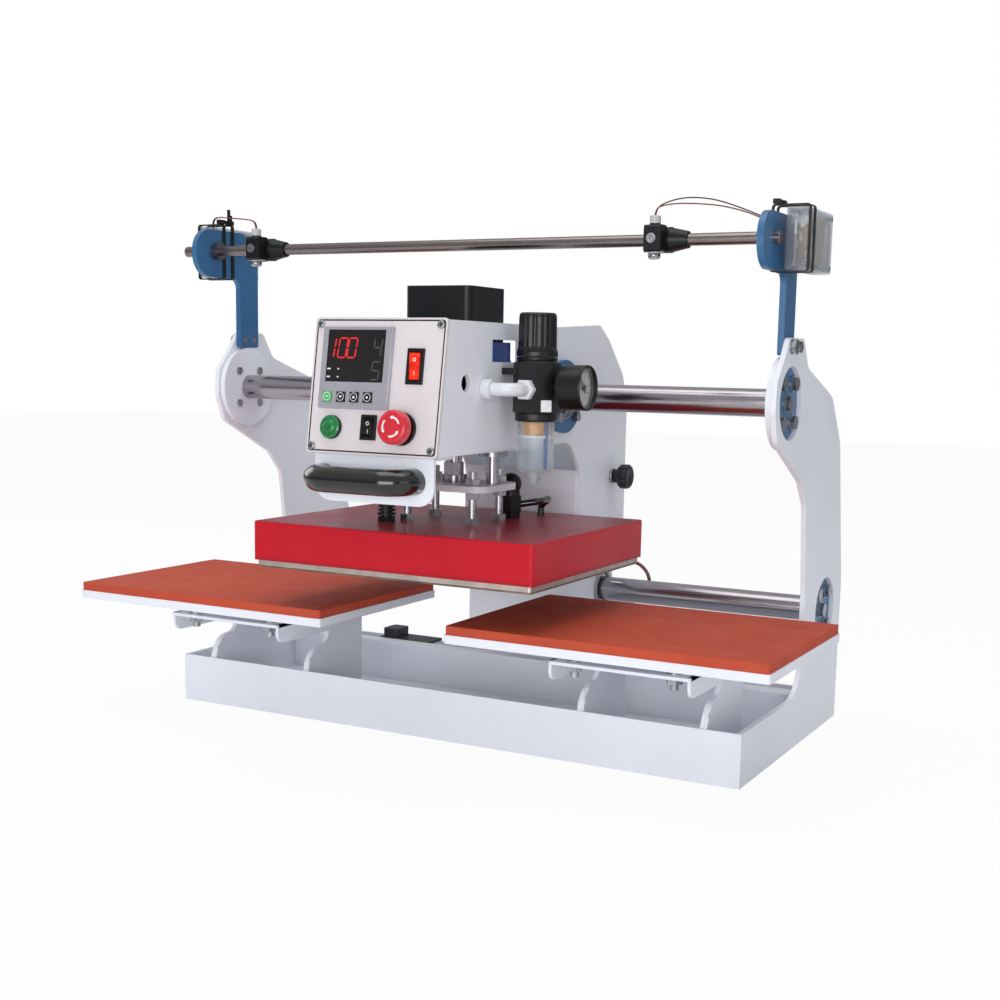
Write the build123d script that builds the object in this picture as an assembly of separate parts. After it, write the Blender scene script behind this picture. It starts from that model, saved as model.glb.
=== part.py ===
from build123d import *
import math
import os

os.makedirs("parts", exist_ok=True)

# Frame: X to the right, Y to the back, Z up, in mm. The origin is on the bench, midway between
# the two columns and straight under the upper slide rod.

# welded base and columns
base_half = 317.0
base_front = -101.0
base_back = 94.0
base_height = 50.0
sheet = 3.0
column_t = 5.0
inner = base_half - column_t

# slide rods
rod_r = 13.0
upper_z = 338.5
lower_y, lower_z = 151.0, 124.5
flange_r, flange_t = 43.0, 6.0
opening_r = 34.0

# carriage, drawn where it stands between the two stations
car_x = 15.0
car_half = 68.0
car_t = 4.0
car_rear = 163.0
head_top, head_bottom = 406.0, 289.0
panel_top_y, panel_bottom_y = -218.0, -235.0

# pressing unit
press_y = -93.0
cover_w, cover_d = 297.0, 238.0
cover_bottom, cover_top = 182.0, 219.0
stroke = 38.0
plate_z0 = 250.0
guide_dx = 42.5
plate_under = 175.0

# stations
station_x = 219.0
platen_w, platen_d, platen_t = 303.0, 210.0, 8.0
pad_t = 8.2
pad_top = 137.0
pad_edge = 1.0
saddle_top = 107.0
leg_off = 61.0

# laser bar
bar_y, bar_z, bar_r = -55.0, 482.5, 5.5
post_in = inner - 6.0

parts = {}


def block(x0, x1, y0, y1, z0, z1):
    return Pos((x0 + x1) / 2, (y0 + y1) / 2, (z0 + z1) / 2) * Box(x1 - x0, y1 - y0, z1 - z0)


def rod_x(x0, x1, y, z, r):
    return Pos((x0 + x1) / 2, y, z) * Rot(0, 90, 0) * Cylinder(r, x1 - x0)


def rod_y(y0, y1, x, z, r):
    return Pos(x, (y0 + y1) / 2, z) * Rot(90, 0, 0) * Cylinder(r, y1 - y0)


def rod_z(z0, z1, x, y, r):
    return Pos(x, y, (z0 + z1) / 2) * Cylinder(r, z1 - z0)


def plate_x(points, radii, x0, x1):
    wire = FilletPolyline(*points, radius=radii, close=True)
    return extrude(Plane.YZ.offset(x0) * make_face(wire), amount=x1 - x0)


def hexagon_z(af, z0, z1, x, y):
    flat = RegularPolygon(af / 2, 6, major_radius=False)
    return Pos(x, y, z0) * extrude(flat, amount=z1 - z0)


def hexagon_x(af, x0, x1, y, z):
    flat = RegularPolygon(af / 2, 6, major_radius=False)
    return extrude(Plane(origin=(x0, y, z), x_dir=(0, 1, 0), z_dir=(1, 0, 0)) * flat, amount=x1 - x0)


def ring_x(x0, x1, y, z, r_out, r_in):
    return rod_x(x0, x1, y, z, r_out) - rod_x(x0 - 1, x1 + 1, y, z, r_in)


def ring_z(z0, z1, x, y, r_out, r_in):
    return rod_z(z0, z1, x, y, r_out) - rod_z(z0 - 1, z1 + 1, x, y, r_in)


def slab(w, d, z0, z1, r, x, y):
    return Pos(x, y, z0) * extrude(RectangleRounded(w, d, r), amount=z1 - z0)


def mirror_x(shape):
    return mirror(shape, about=Plane.YZ)


def tube(points, r):
    """A round tube on straight runs; each joining arc takes 0.45 of its shorter run."""
    dots = [Vector(*one) for one in points]
    radii = []
    for a, b, c in zip(dots, dots[1:], dots[2:]):
        half_turn = math.radians((b - a).get_angle(c - b)) / 2
        radii.append(0.45 * min((b - a).length, (c - b).length) / math.tan(half_turn))
    print("bend radii in diameters", [round(one / (2 * r), 1) for one in radii])
    return sweep(Plane(origin=dots[0], z_dir=dots[1] - dots[0]) * Circle(r),
                 path=FilletPolyline(*dots, radius=radii))


def around(n, r, start):
    turns = [math.radians(start + i * 360 / n) for i in range(n)]
    return [(r * math.cos(a), r * math.sin(a)) for a in turns]


def bulk_radii(points, special, usual):
    return [special.get(i, usual) for i in range(len(points))]


def base_tray():
    floor = block(-inner, inner, base_front, base_back, 0, sheet)
    front = block(-inner, inner, base_front, base_front + sheet, 0, base_height)
    back = block(-inner, inner, base_back - sheet, base_back, 0, base_height)
    lip = block(-inner, inner, base_back - 14, base_back, base_height - sheet, base_height)
    beam = block(-inner, inner, 196, 199, 0, 30) + block(-inner, inner, base_back, 199, 0, sheet)
    tray = floor + front + back + lip + beam
    for x in (-250, 250):
        for y in (-60, 60):
            tray -= rod_z(-1, 5, x, y, 4.5)
    return tray


def column(side):
    outline = [(base_front, 0), (base_front, base_height), (77, base_height), (77, 152), (65, 240),
               (44, 264), (-36, 303), (-46, 331), (-44, 358), (-24, 380), (-12, 398), (32, 398),
               (50, 371), (140, 343), (178, 296), (211, 148), (211, 0)]
    radii = bulk_radii(outline, {0: 0.5, 1: 1.5, 2: 36, 3: 30, 4: 14, 5: 14, 6: 14, 7: 12, 8: 12,
                                 9: 8, 10: 5, 11: 8, 12: 14, 13: 30, 14: 36, 15: 60, 16: 2}, 3)
    x0, x1 = (inner, base_half) if side > 0 else (-base_half, -inner)
    plate = plate_x(outline, radii, x0, x1)
    for y, z in ((0, upper_z), (lower_y, lower_z)):
        plate -= rod_x(x0 - 1, x1 + 1, y, z, opening_r)
    for y, z in post_spots():
        plate -= rod_x(x0 - 1, x1 + 1, y, z, 3.25)
    return plate


def post_spots():
    return [(-7, 390), (8, 390)]


def flange_bolt_spots():
    spots = []
    for y, z in ((0, upper_z), (lower_y, lower_z)):
        for dy, dz in around(4, 25, 45):
            spots.append((y + dy, z + dz))
    return spots


def rod_flanges():
    discs = []
    for side in (-1, 1):
        for y, z in ((0, upper_z), (lower_y, lower_z)):
            disc = rod_x(inner - flange_t, inner, y, z, flange_r)
            disc -= rod_x(inner - flange_t - 1, inner - 1.5, y, z, rod_r + 0.02)
            disc -= rod_x(inner - flange_t - 1, inner + 1, y, z, 4.2)
            for dy, dz in around(4, 25, 45):
                disc -= rod_x(inner - flange_t - 1, inner + 1, y + dy, z + dz, 4.2)
            discs.append(disc if side > 0 else mirror_x(disc))
    return discs


def slide_rod(y, z):
    end = inner - 1.52
    bar = chamfer(rod_x(-end, end, y, z, rod_r).edges().filter_by(GeomType.CIRCLE), 1.0)
    for side in (-1, 1):
        bar -= rod_x(min(side * end, side * (end - 18)), max(side * end, side * (end - 18)), y, z, 4.02)
    return bar


def hex_bolt_x(head_x, tip_x, y, z, af, r, washer=True):
    out = 1 if head_x > tip_x else -1
    head = hexagon_x(af, min(head_x, head_x + out * 5.2), max(head_x, head_x + out * 5.2), y, z)
    shank = rod_x(min(head_x, tip_x), max(head_x, tip_x), y, z, r)
    body = head + shank
    if washer:
        body += rod_x(min(head_x, head_x + out * 1.2), max(head_x, head_x + out * 1.2), y, z, af * 0.68)
    return body


def frame_bolts():
    bolts = []
    for side in (-1, 1):
        for y, z in flange_bolt_spots():
            bolts.append(hex_bolt_x(side * inner, side * (inner - flange_t - 1.5), y, z, 12, 4.0))
        for y, z in ((0, upper_z), (lower_y, lower_z)):
            bolts.append(hex_bolt_x(side * inner, side * (inner - 16), y, z, 13, 4.0))
        for y, z in post_spots():
            bolts.append(hex_bolt_x(side * base_half, side * (post_in - 0.5), y, z, 10, 3.0))
    return bolts


def leg(x):
    outline = [(-97.5, sheet), (-97.5, 57), (-92, 70), (-104, 84), (-112, 104), (12, 104), (2, 60), (2, sheet)]
    radii = [0.5, 8, 8, 12, 2, 2, 20, 2]
    return plate_x(outline, radii, x - 2.5, x + 2.5)


def platen_legs():
    return [leg(s * station_x + d) for s in (-1, 1) for d in (-leg_off, leg_off)]


def saddle(x):
    half, t = 68.0, 3.0
    y0, y1 = press_y - 62, press_y + 62
    top = slab(2 * half, y1 - y0, saddle_top - t, saddle_top, 4, x, press_y)
    flange = [(y0 + 2, saddle_top), (y0 + 4, 88), (y1 - 4, 88), (y1 - 2, saddle_top)]
    for s in (-1, 1):
        a, b = sorted((x + s * half, x + s * (half - t)))
        top += plate_x(flange, [1, 10, 10, 1], a, b)
    for dx in (-48, 48):
        for dy in (-46, 46):
            top -= rod_z(90, 120, x + dx, press_y + dy, 4.2)
    return top


def platen_bottom():
    return pad_top - pad_t - platen_t


def platen(x):
    plate = slab(platen_w, platen_d, platen_bottom(), pad_top - pad_t, 3, x, press_y)
    for dx in (-48, 48):
        for dy in (-46, 46):
            plate -= rod_z(platen_bottom() - 1, platen_bottom() + 5, x + dx, press_y + dy, 4.02)
    return plate


def pad(x):
    w, d = platen_w - 2 * pad_edge, platen_d - 2 * pad_edge
    body = slab(w, d, pad_top - pad_t, pad_top, 3, x, press_y)
    return fillet(body.edges().group_by(Axis.Z)[-1], 0.8)


def levelling_bolts():
    group = []
    for s in (-1, 1):
        for dx in (-48, 48):
            for dy in (-46, 46):
                x, y = s * station_x + dx, press_y + dy
                stud = rod_z(92, platen_bottom() + 4.5, x, y, 4.0)
                nuts = hexagon_z(13, saddle_top, saddle_top + 6, x, y)
                nuts += hexagon_z(13, saddle_top - 9.5, saddle_top - 3, x, y)
                nuts += rod_z(saddle_top, saddle_top + 1.4, x, y, 8)
                group.append(stud + nuts)
    return group


def centre_stop():
    block_part = block(-192, -172, 100, 126, 50.2, 60)
    foot = block(-176, -128, 96, 122, sheet, sheet + 3)
    post = block(-176, -128, 96, 99, sheet, 50.2)
    plate = block(-194, -128, 96, 128, 47, 50.2)
    return [fillet(block_part.edges().filter_by(Axis.Z), 3), foot + post + plate]


def laser_post(side):
    outline = [(-15, 382), (-15, 455), (-86, 455), (-86, 505), (-8, 505), (16, 474), (16, 382)]
    radii = [3, 10, 23, 23, 6, 12, 3]
    post = plate_x(outline, radii, post_in, inner)
    post -= rod_x(post_in - 1, inner + 1, bar_y, bar_z, bar_r + 0.03)
    for y, z in post_spots():
        post -= rod_x(post_in - 1, inner + 1, y, z, 3.05)
    return post if side > 0 else mirror_x(post)


def laser_bar():
    bar = rod_x(-345, 318, bar_y, bar_z, bar_r)
    bar = chamfer(bar.edges().filter_by(GeomType.CIRCLE), 0.6)
    collar = ring_x(post_in - 8, post_in - 0.3, bar_y, bar_z, 9, bar_r)
    return [bar + collar + mirror_x(collar)]


board_x = base_half + 8.8


def driver_box(side):
    x0, x1, y0, y1, z0, z1 = base_half + 1.2, base_half + 21.2, -44.0, 34.0, 456.0, 510.0
    shell = fillet(block(x0, x1, y0, y1, z0, z1).edges(), 2.0)
    shell -= block(x0 + 1.6, x1 - 1.6, y0 + 1.6, y1 - 1.6, z0 + 1.6, z1 - 1.6)
    if side > 0:
        return shell - rod_x(x0 - 1, x0 + 2, 12.9, 490.4, 1.9)
    return mirror_x(shell) - rod_z(z1 - 2, z1 + 1, -board_x, -35, 1.9)


def driver_boards(side):
    x0 = board_x - 0.8
    board = block(x0, x0 + 1.6, -40, 30, 460, 506)
    cell = rod_z(462, 504, x0 + 6.4, -24, 4.8)
    chip = block(x0 + 1.6, x0 + 5.6, -8, 16, 470, 494)
    body = board + cell + block(x0 + 1.6, x0 + 4, -28, -20, 464, 502) + chip
    return body if side > 0 else mirror_x(body)


def cable_tie(side, y):
    z0, z1 = 455.0, 511.0
    x0, x1 = post_in - 1.3, base_half + 22.5
    outer = block(x0, x1, y - 2.3, y + 2.3, z0 - 1.2, z1 + 1.2)
    outer -= block(x0 + 1.2, x1 - 1.2, y - 3, y + 3, z0, z1)
    lock = block(x1 - 7, x1 - 0.2, y - 4, y + 4, z1 + 0.2, z1 + 5)
    tail = block(x1 - 4.2, x1 - 3.0, y - 2.2, y + 2.2, z1 + 5, z1 + 18)
    tie = outer + lock + tail
    return tie if side > 0 else mirror_x(tie)


def side_outline():
    return [(panel_bottom_y, head_bottom), (panel_top_y, head_top), (-8, head_top), (88, head_top + 5),
            (112, 396), (150, 360), (car_rear, 330), (car_rear, 168), (48, 168), (48, 262), (22, 292), (-40, 292)]


def side_plate(side):
    radii = [0.5, 0.5, 1, 12, 20, 20, 20, 2, 8, 22, 24, 1]
    x1 = car_x + side * car_half
    x0 = x1 - side * car_t
    plate = plate_x(side_outline(), radii, min(x0, x1), max(x0, x1))
    lo, hi = min(x0, x1) - 1, max(x0, x1) + 1
    plate -= rod_x(lo, hi, 0, upper_z, 21.03)
    for dy, dz in around(4, 28, 45):
        plate -= rod_x(lo, hi, dy, upper_z + dz, 3.1)
    if side > 0:
        plate -= block(lo, hi, -143, -92, 371, 391)
        plate -= rod_x(lo, hi, -190, 352, 7.5)
        plate -= rod_x(lo, hi, -157, 347, 8.0)
        plate -= rod_x(lo, hi, lock_y(), lock_z(), 5.02)
    return plate


def lock_y():
    return 128.0


def lock_z():
    return 252.0


def head_shell():
    x0, x1 = car_x - car_half + car_t, car_x + car_half - car_t
    top = block(x0, x1, panel_top_y + 3, 88, head_top - 2.5, head_top)
    bottom = block(x0, x1, panel_bottom_y + 13, -30, head_bottom, head_bottom + 5)
    rear = block(x0, x1, car_rear - 3, car_rear, 168, 330)
    rear -= rod_y(car_rear - 4, car_rear + 1, inlet_x, inlet_z, 6.02)
    rear -= rod_y(car_rear - 4, car_rear + 1, lead_x, inlet_z, 8.02)
    cross = block(x0, x1, 46, 50, 168, 262)
    lip = block(x0, x1, -33, -30, head_bottom, head_bottom + 30)
    top -= block(car_x - 35.6, car_x + 35.6, press_y - 35.6, press_y + 35.6, head_top - 10, head_top + 10)
    for dx in (-guide_dx, guide_dx):
        bottom -= rod_z(head_bottom - 1, head_bottom + 6, car_x + dx, press_y, 10.03)
    bottom -= rod_z(head_bottom - 1, head_bottom + 6, car_x, press_y, 14)
    for x, y in bracket_screws():
        bottom -= rod_z(head_bottom - 1, head_bottom + 6, x, y, 3.05)
    return [top, bottom + lip, rear, cross]


def bracket_screws():
    return [(car_x - 45, panel_bottom_y + 24), (car_x + 45, panel_bottom_y + 24)]


def handle_plate():
    y1 = panel_bottom_y + 6
    face = [(car_x - 62, 246), (car_x + 62, 246), (car_x + 62, head_bottom), (car_x - 62, head_bottom)]
    wire = FilletPolyline(*face, radius=[16, 16, 1, 1], close=True)
    front = extrude(Plane.XZ.offset(-y1) * make_face(wire), amount=3)
    fold = block(car_x - 62, car_x + 62, y1, panel_bottom_y + 36, head_bottom - 3, head_bottom)
    body = front + fold
    for x, y in bracket_screws():
        body -= rod_z(head_bottom - 4, head_bottom + 1, x, y, 3.05)
    for dx in (-49, 49):
        body -= rod_y(y1 - 4, y1 + 1, car_x + dx, 262, 3.05)
    return body


hose_x, hose_y, hose_r = 51.0, 205.0, 2.0
hose_top, hose_low = 148.4, 102.7


def hose_elbow(z):
    body = rod_y(175, hose_y, hose_x, z, 4.0) + rod_x(hose_x, hose_x + 12, hose_y, z, 4.0)
    body += Pos(hose_x, hose_y, z) * Sphere(4.0) + rod_x(hose_x + 9, hose_x + 15, hose_y, z, 4.6)
    flat = Plane(origin=(hose_x, 178, z), x_dir=(1, 0, 0), z_dir=(0, 1, 0))
    body += extrude(flat * RegularPolygon(6, 6, major_radius=False), amount=6)
    return body - rod_x(hose_x + 5, hose_x + 16, hose_y, z, hose_r + 0.02)


def air_hose():
    run = (hose_top - hose_low) / (1 + math.sqrt(2))
    d = run / math.sqrt(2)
    x0 = hose_x + 6
    x1 = 99.3 - d
    return tube([(x0, hose_y, hose_top), (x1, hose_y, hose_top), (x1 + d, hose_y, hose_top - d),
                 (x1 + d, hose_y, hose_low + d), (x1, hose_y, hose_low), (x0, hose_y, hose_low)], hose_r)


def lower_box():
    x0, x1 = car_x - 50, car_x + 50
    y0, y1, z0, z1 = 29.0, 178.0, 92.0, 168.0
    shell = block(x0, x1, y0, y1, z0, z1) - block(x0 + 3, x1 - 3, y0 + 3, y1 - 3, z0 + 3, z1 - 4)
    shell -= block(x0 + 12, x1 - 12, y0 + 12, y1 - 12, z0 - 1, z0 + 4)
    shell = shell - rod_x(x0 - 1, x1 + 1, lower_y, lower_z, 22.02)
    for z in (hose_top, hose_low):
        shell -= rod_y(y1 - 4, y1 + 1, hose_x, z, 4.02)
    return shell


def bearing_tubes():
    upper = ring_x(car_x - car_half - 1, car_x + car_half + 1, 0, upper_z, 21.0, 18.02)
    lower = ring_x(car_x - 52, car_x + 52, lower_y, lower_z, 22.0, 18.02)
    return [upper, lower]


def linear_bearings():
    group = []
    for y, z, half in ((0, upper_z, car_half - 1), (lower_y, lower_z, 50.0)):
        for s in (-1, 1):
            a, b = sorted((car_x + s * half, car_x + s * (half - 48)))
            group.append(ring_x(a, b, y, z, 18.0, rod_r + 0.05))
    return group


def bearing_flanges():
    group = []
    for s in (-1, 1):
        a, b = sorted((car_x + s * car_half, car_x + s * (car_half + 5)))
        disc = ring_x(a, b, 0, upper_z, 36, 21.02)
        for dy, dz in around(4, 28, 45):
            disc -= rod_x(a - 1, b + 1, dy, upper_z + dz, 3.1)
        group.append(disc)
    return group


def panel_plane():
    lean = math.atan2(panel_top_y - panel_bottom_y, head_top - head_bottom)
    y = (panel_top_y + panel_bottom_y) / 2
    z = (head_top + head_bottom) / 2
    return Plane(origin=(car_x, y - 3 * math.cos(lean), z + 3 * math.sin(lean)),
                 x_dir=(1, 0, 0), z_dir=(0, -math.cos(lean), math.sin(lean)))


def on_panel(u, v, w0, shape):
    return panel_plane() * Pos(u, v, w0) * shape


panel_w, panel_h = 136.0, 120.0
ctl_u, ctl_v = -20.0, 15.5
red_u, red_v = 39.5, 18.0
green_u, green_v = -42.0, -37.0
black_u, black_v = -3.0, -36.0
stop_u, stop_v = 31.0, -36.0
key_u = [-26.0, -11.5, 2.5, 16.5]
key_v = -26.0


def panel_screw_spots():
    u, v = panel_w / 2 - 6, panel_h / 2 - 6
    return [(-u, -v), (u, -v), (-u, v), (u, v)]


def control_panel():
    plate = extrude(RectangleRounded(panel_w, panel_h, 3), amount=-3)
    plate = panel_plane() * plate
    cuts = [on_panel(ctl_u, ctl_v, 0, Box(68.2, 68.2, 20)), on_panel(red_u, red_v, 0, Box(13.2, 27.2, 20)),
            on_panel(black_u, black_v, 0, Box(12.2, 18.2, 20)),
            on_panel(green_u, green_v, 0, Cylinder(8.05, 20)), on_panel(stop_u, stop_v, 0, Cylinder(11.05, 20))]
    for u, v in panel_screw_spots():
        cuts.append(on_panel(u, v, 0, Cylinder(2.05, 20)))
    for cut in cuts:
        plate -= cut
    return plate


def controller_case():
    bezel = Pos(0, 0, 2.5) * Box(72, 72, 5)
    bezel = fillet(bezel.edges().group_by(Axis.Z)[-1], 1.2)
    body = bezel + Pos(0, 0, -31) * Box(67.8, 67.8, 62)
    body -= Pos(0, 10, 4.5) * Box(60, 46, 3)
    body -= Pos(0, 0, -33) * Box(62, 62, 56)
    for u in key_u:
        body -= Pos(u, key_v, 3) * Box(9.4, 9.4, 8)
    return on_panel(ctl_u, ctl_v, 0, body)


def controller_screen():
    return on_panel(ctl_u, ctl_v, 0, Pos(0, 10, 3.7) * Box(59.8, 45.8, 1.2))


def controller_key(u):
    cap = Pos(0, 0, 4.2) * Box(9.0, 9.0, 4.4)
    cap = fillet(cap.edges().group_by(Axis.Z)[-1], 0.7)
    return on_panel(ctl_u + u, ctl_v + key_v, 0, cap)


def rocker_frame(w, h):
    rim = Pos(0, 0, 1) * Box(w + 4, h + 4, 2)
    rim = fillet(rim.edges().group_by(Axis.Z)[-1], 0.6)
    body = rim + Pos(0, 0, -8) * Box(w, h, 16)
    body -= Pos(0, 0, -3) * Box(w - 2.2, h - 2.2, 14)
    body -= rod_x(0.5 - w / 2, w / 2 - 0.5, 0, -1, pivot_r + 0.05)
    for s in (-1, 1):
        body += Pos(0, s * 3, -18) * Box(w * 0.6, 0.8, 6)
    return body


pivot_r = 1.2


def rocker_cap(w, h):
    wide, tall = w - 3.2, h - 4.4
    pts = [(1.8 - tall / 2, -5), (-tall / 2, 1.4), (0, 2.4), (tall / 2, 3.6), (tall / 2 - 1.8, -5)]
    cap = extrude(Plane.YZ.offset(-wide / 2) * make_face(Polyline(*pts, close=True)), amount=wide)
    return cap + rod_x(0.6 - w / 2, w / 2 - 0.6, 0, -1, pivot_r)


def push_base():
    ring = Pos(0, 0, 1.5) * Cylinder(10.5, 3)
    ring = fillet(ring.edges().group_by(Axis.Z)[-1], 0.8)
    return ring + Pos(0, 0, -12) * Cylinder(8.0, 24) - Pos(0, 0, -5) * Cylinder(6.6, 26)


def estop_base():
    ring = Pos(0, 0, 1.5) * Cylinder(14.5, 3)
    ring = fillet(ring.edges().group_by(Axis.Z)[-1], 1.0)
    return ring + Pos(0, 0, -17) * Cylinder(11.0, 34) - Pos(0, 0, -8) * Cylinder(7.0, 34)


def switch_bodies():
    return [on_panel(red_u, red_v, 0, rocker_frame(13, 27)), on_panel(black_u, black_v, 0, rocker_frame(12, 18)),
            on_panel(green_u, green_v, 0, push_base()), on_panel(stop_u, stop_v, 0, estop_base())]


def start_button():
    cap = Pos(0, 0, 1.0) * Cylinder(6.4, 8)
    return on_panel(green_u, green_v, 0, fillet(cap.edges().group_by(Axis.Z)[-1], 1.0))


def estop_head():
    neck = Pos(0, 0, 3) * Cylinder(6.8, 14)
    cap = Pos(0, 0, 13.5) * Cylinder(15, 9)
    cap = fillet(cap.edges().group_by(Axis.Z)[-1], 3.5)
    return on_panel(stop_u, stop_v, 0, neck + cap)


def screw_on_panel(u, v):
    head = Pos(0, 0, 1.1) * Cylinder(3.6, 2.2)
    head = fillet(head.edges().group_by(Axis.Z)[-1], 1.0)
    head -= Pos(0, 0, 2.2) * Box(4.6, 0.9, 1.6) + Pos(0, 0, 2.2) * Box(0.9, 4.6, 1.6)
    return on_panel(u, v, 0, head + Pos(0, 0, -4) * Cylinder(2.0, 8))


def carriage_bolts():
    group = [screw_on_panel(u, v) for u, v in panel_screw_spots()]
    for s in (-1, 1):
        face = car_x + s * (car_half + 5)
        for dy, dz in around(4, 28, 45):
            group.append(hex_bolt_x(face, face - s * 12, dy, upper_z + dz, 9, 3.0, washer=False))
    for x, y in bracket_screws():
        group.append(hexagon_z(10, head_bottom - 7, head_bottom - 3, x, y) + rod_z(head_bottom - 3, 300, x, y, 3.0))
    for dx in (-49, 49):
        y = panel_bottom_y + 6
        flat = Plane(origin=(car_x + dx, y, 262), x_dir=(1, 0, 0), z_dir=(0, 1, 0))
        group.append(extrude(flat * RegularPolygon(5, 6, major_radius=False), amount=4)
                     + rod_y(y - 12, y, car_x + dx, 262, 3.0))
    return group


def handle():
    y = panel_bottom_y + 3
    front = y - 38
    span = 49.0
    spine = FilletPolyline((car_x - span, y, 262), (car_x - span, front, 258), (car_x + span, front, 258),
                           (car_x + span, y, 262), radius=20)
    section = Plane(origin=(car_x - span, y, 262), z_dir=(0, -1, -0.105)) * Circle(11.0)
    grip = sweep(section, path=spine)
    grip = grip - block(car_x - 80, car_x + 80, y, y + 12, 240, 285)
    for s in (-1, 1):
        grip -= rod_y(y - 10, y + 1, car_x + s * span, 262, 3.02)
    return grip


def cylinder_body():
    x, y = car_x, press_y
    z0, z1 = 338.0, 440.0
    body = slab(70, 70, z0, z1, 6, x, y)
    body = body - rod_z(z0 + 10, z1 - 9, x, y, 31.55)
    body = body - rod_z(z0 - 1, z0 + 12, x, y, 8.05)
    for dx, dy in ((-28, -28), (28, -28), (-28, 28), (28, 28)):
        body = body - rod_z(z1 - 5, z1 + 1, x + dx, y + dy, 4.5)
    nose = ring_z(z0 - 14, z0, x, y, 15, 8.05)
    feet = block(x - 63.5, x - 35, y - 35, y + 35, z0, z0 + 4) + block(x + 35, x + 63.5, y - 35, y + 35, z0, z0 + 4)
    for dx in (-guide_dx, guide_dx):
        feet -= rod_z(z0 - 1, z0 + 5, x + dx, y, 7)
    return [body + nose + feet]


def solenoid_valve():
    x1 = car_x + car_half - car_t - 4
    valve = block(x1 - 22, x1, -141, -94, 373, 389)
    coil = fillet(block(x1 - 20, x1 - 2, -164, -141, 370, 389).edges().filter_by(Axis.Y), 2)
    ports = rod_z(389, 394, x1 - 11, -128, 4) + rod_z(389, 394, x1 - 11, -108, 4)
    stand = block(x1 - 22, x1 + 4, -135, -100, 370, 373)
    return valve + coil + ports + stand


frl_x, frl_y = 112.0, -111.0


def regulator_body():
    body = slab(40, 40, 326, 372, 3, frl_x, frl_y)
    neck = rod_z(372, 376, frl_x, frl_y, 17)
    slot = block(frl_x - 21, frl_x - 15, frl_y - 22, frl_y - 18, 336, 352)
    collar = rod_z(318, 326, frl_x, frl_y, 19.5) - rod_z(312, 325, frl_x, frl_y, 17.3)
    body = body + neck + collar - block(frl_x + 2, frl_x + 6, frl_y - 21, frl_y - 17, 334, 358) - slot
    body -= rod_x(frl_x + 10, frl_x + 21, frl_y, 349.5, 6.02)
    body -= rod_y(frl_y - 21, frl_y - 10, frl_x, 347, 7.02)
    body -= rod_z(322, 328, frl_x, frl_y, 12.02)
    bracket = block(car_x + car_half, frl_x - 19, frl_y - 14, frl_y + 14, 360, 366)
    bracket += block(car_x + car_half, car_x + car_half + 3, frl_y - 14, frl_y + 14, 352, 368.5)
    return body + bracket


def filter_element():
    return rod_z(306, 327.5, frl_x, frl_y, 12.0) + rod_z(303, 306, frl_x, frl_y, 13.5)


def filter_bowl():
    outer = rod_z(272, 325, frl_x, frl_y, 17.0)
    outer = fillet(outer.edges().group_by(Axis.Z)[0], 5)
    outer -= rod_z(275, 326, frl_x, frl_y, 15.0)
    drain = rod_z(264, 272.5, frl_x, frl_y, 5) + rod_z(260, 264, frl_x, frl_y, 3.2)
    return outer + drain


def regulator_knob():
    cap = rod_z(376.6, 416, frl_x, frl_y, 20)
    cap = fillet(cap.edges().group_by(Axis.Z)[-1], 2.0)
    cap -= rod_z(375, 380, frl_x, frl_y, 16)
    for dx, dy in around(30, 20.6, 0):
        cap -= rod_z(382, 413, frl_x + dx, frl_y + dy, 1.1)
    return cap


gauge_x0, gauge_x1, gauge_z = 138.0, 172.0, 349.5


def gauge_case():
    case = rod_x(gauge_x0, gauge_x1, frl_y, gauge_z, 21.5)
    case = fillet(case.edges().group_by(Axis.X)[0], 2.5)
    case -= rod_x(gauge_x1 - 7, gauge_x1 + 1, frl_y, gauge_z, 19.5)
    stem = rod_x(frl_x + 12, gauge_x0, frl_y, gauge_z, 6.0) + hexagon_x(14, frl_x + 20.2, gauge_x0, frl_y, gauge_z)
    return case + stem + rod_x(gauge_x1 - 7, gauge_x1 - 5.5, frl_y, gauge_z, 1.5)


def gauge_needle():
    x0 = gauge_x1 - 4.6
    hub = ring_x(x0, x0 + 1.2, frl_y, gauge_z, 3.0, 1.0)
    pts = [(-1.2, -6), (1.2, -6), (0.35, 14), (-0.35, 14)]
    hand = extrude(Plane(origin=(x0, frl_y, gauge_z), x_dir=(0, 1, 0), z_dir=(1, 0, 0))
                   * make_face(Polyline(*pts, close=True)), amount=0.8)
    hand -= rod_x(x0 - 1, x0 + 3, frl_y, gauge_z, 1.0)
    return (hub + hand).rotate(Axis((x0, frl_y, gauge_z), (1, 0, 0)), 40)


def air_elbow():
    start_x = car_x + car_half - 6
    spine = FilletPolyline((start_x, -157, 347), (frl_x, -157, 347), (frl_x, frl_y - 12, 347), radius=11)
    pipe = sweep(Plane(origin=(start_x, -157, 347), z_dir=(1, 0, 0)) * Circle(6.0), path=spine)
    nut = Pos(frl_x, 0, 347) * Rot(90, 0, 0) * Pos(0, 0, 0) * extrude(
        RegularPolygon(8.5, 6, major_radius=False), amount=6)
    nut = Pos(0, frl_y - 20.2, 0) * nut
    collar = ring_x(car_x + car_half + 0.4, car_x + car_half + 9, -157, 347, 9.0, 6.0)
    return pipe + nut + collar


inlet_x, inlet_z = 58.0, 226.0
lead_x = -28.0


def air_inlet():
    body = rod_y(car_rear - 3.2, car_rear + 22, inlet_x, inlet_z, 6.0)
    flat = Plane(origin=(inlet_x, car_rear, inlet_z), x_dir=(1, 0, 0), z_dir=(0, 1, 0))
    body += extrude(flat * RegularPolygon(8.5, 6, major_radius=False), amount=8)
    body += rod_y(car_rear + 16, car_rear + 22, inlet_x, inlet_z, 7.0)
    body -= rod_y(car_rear + 6, car_rear + 23, inlet_x, inlet_z, 4.05)
    return body - rod_y(car_rear - 4, car_rear + 7, inlet_x, inlet_z, 2.6)


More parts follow.
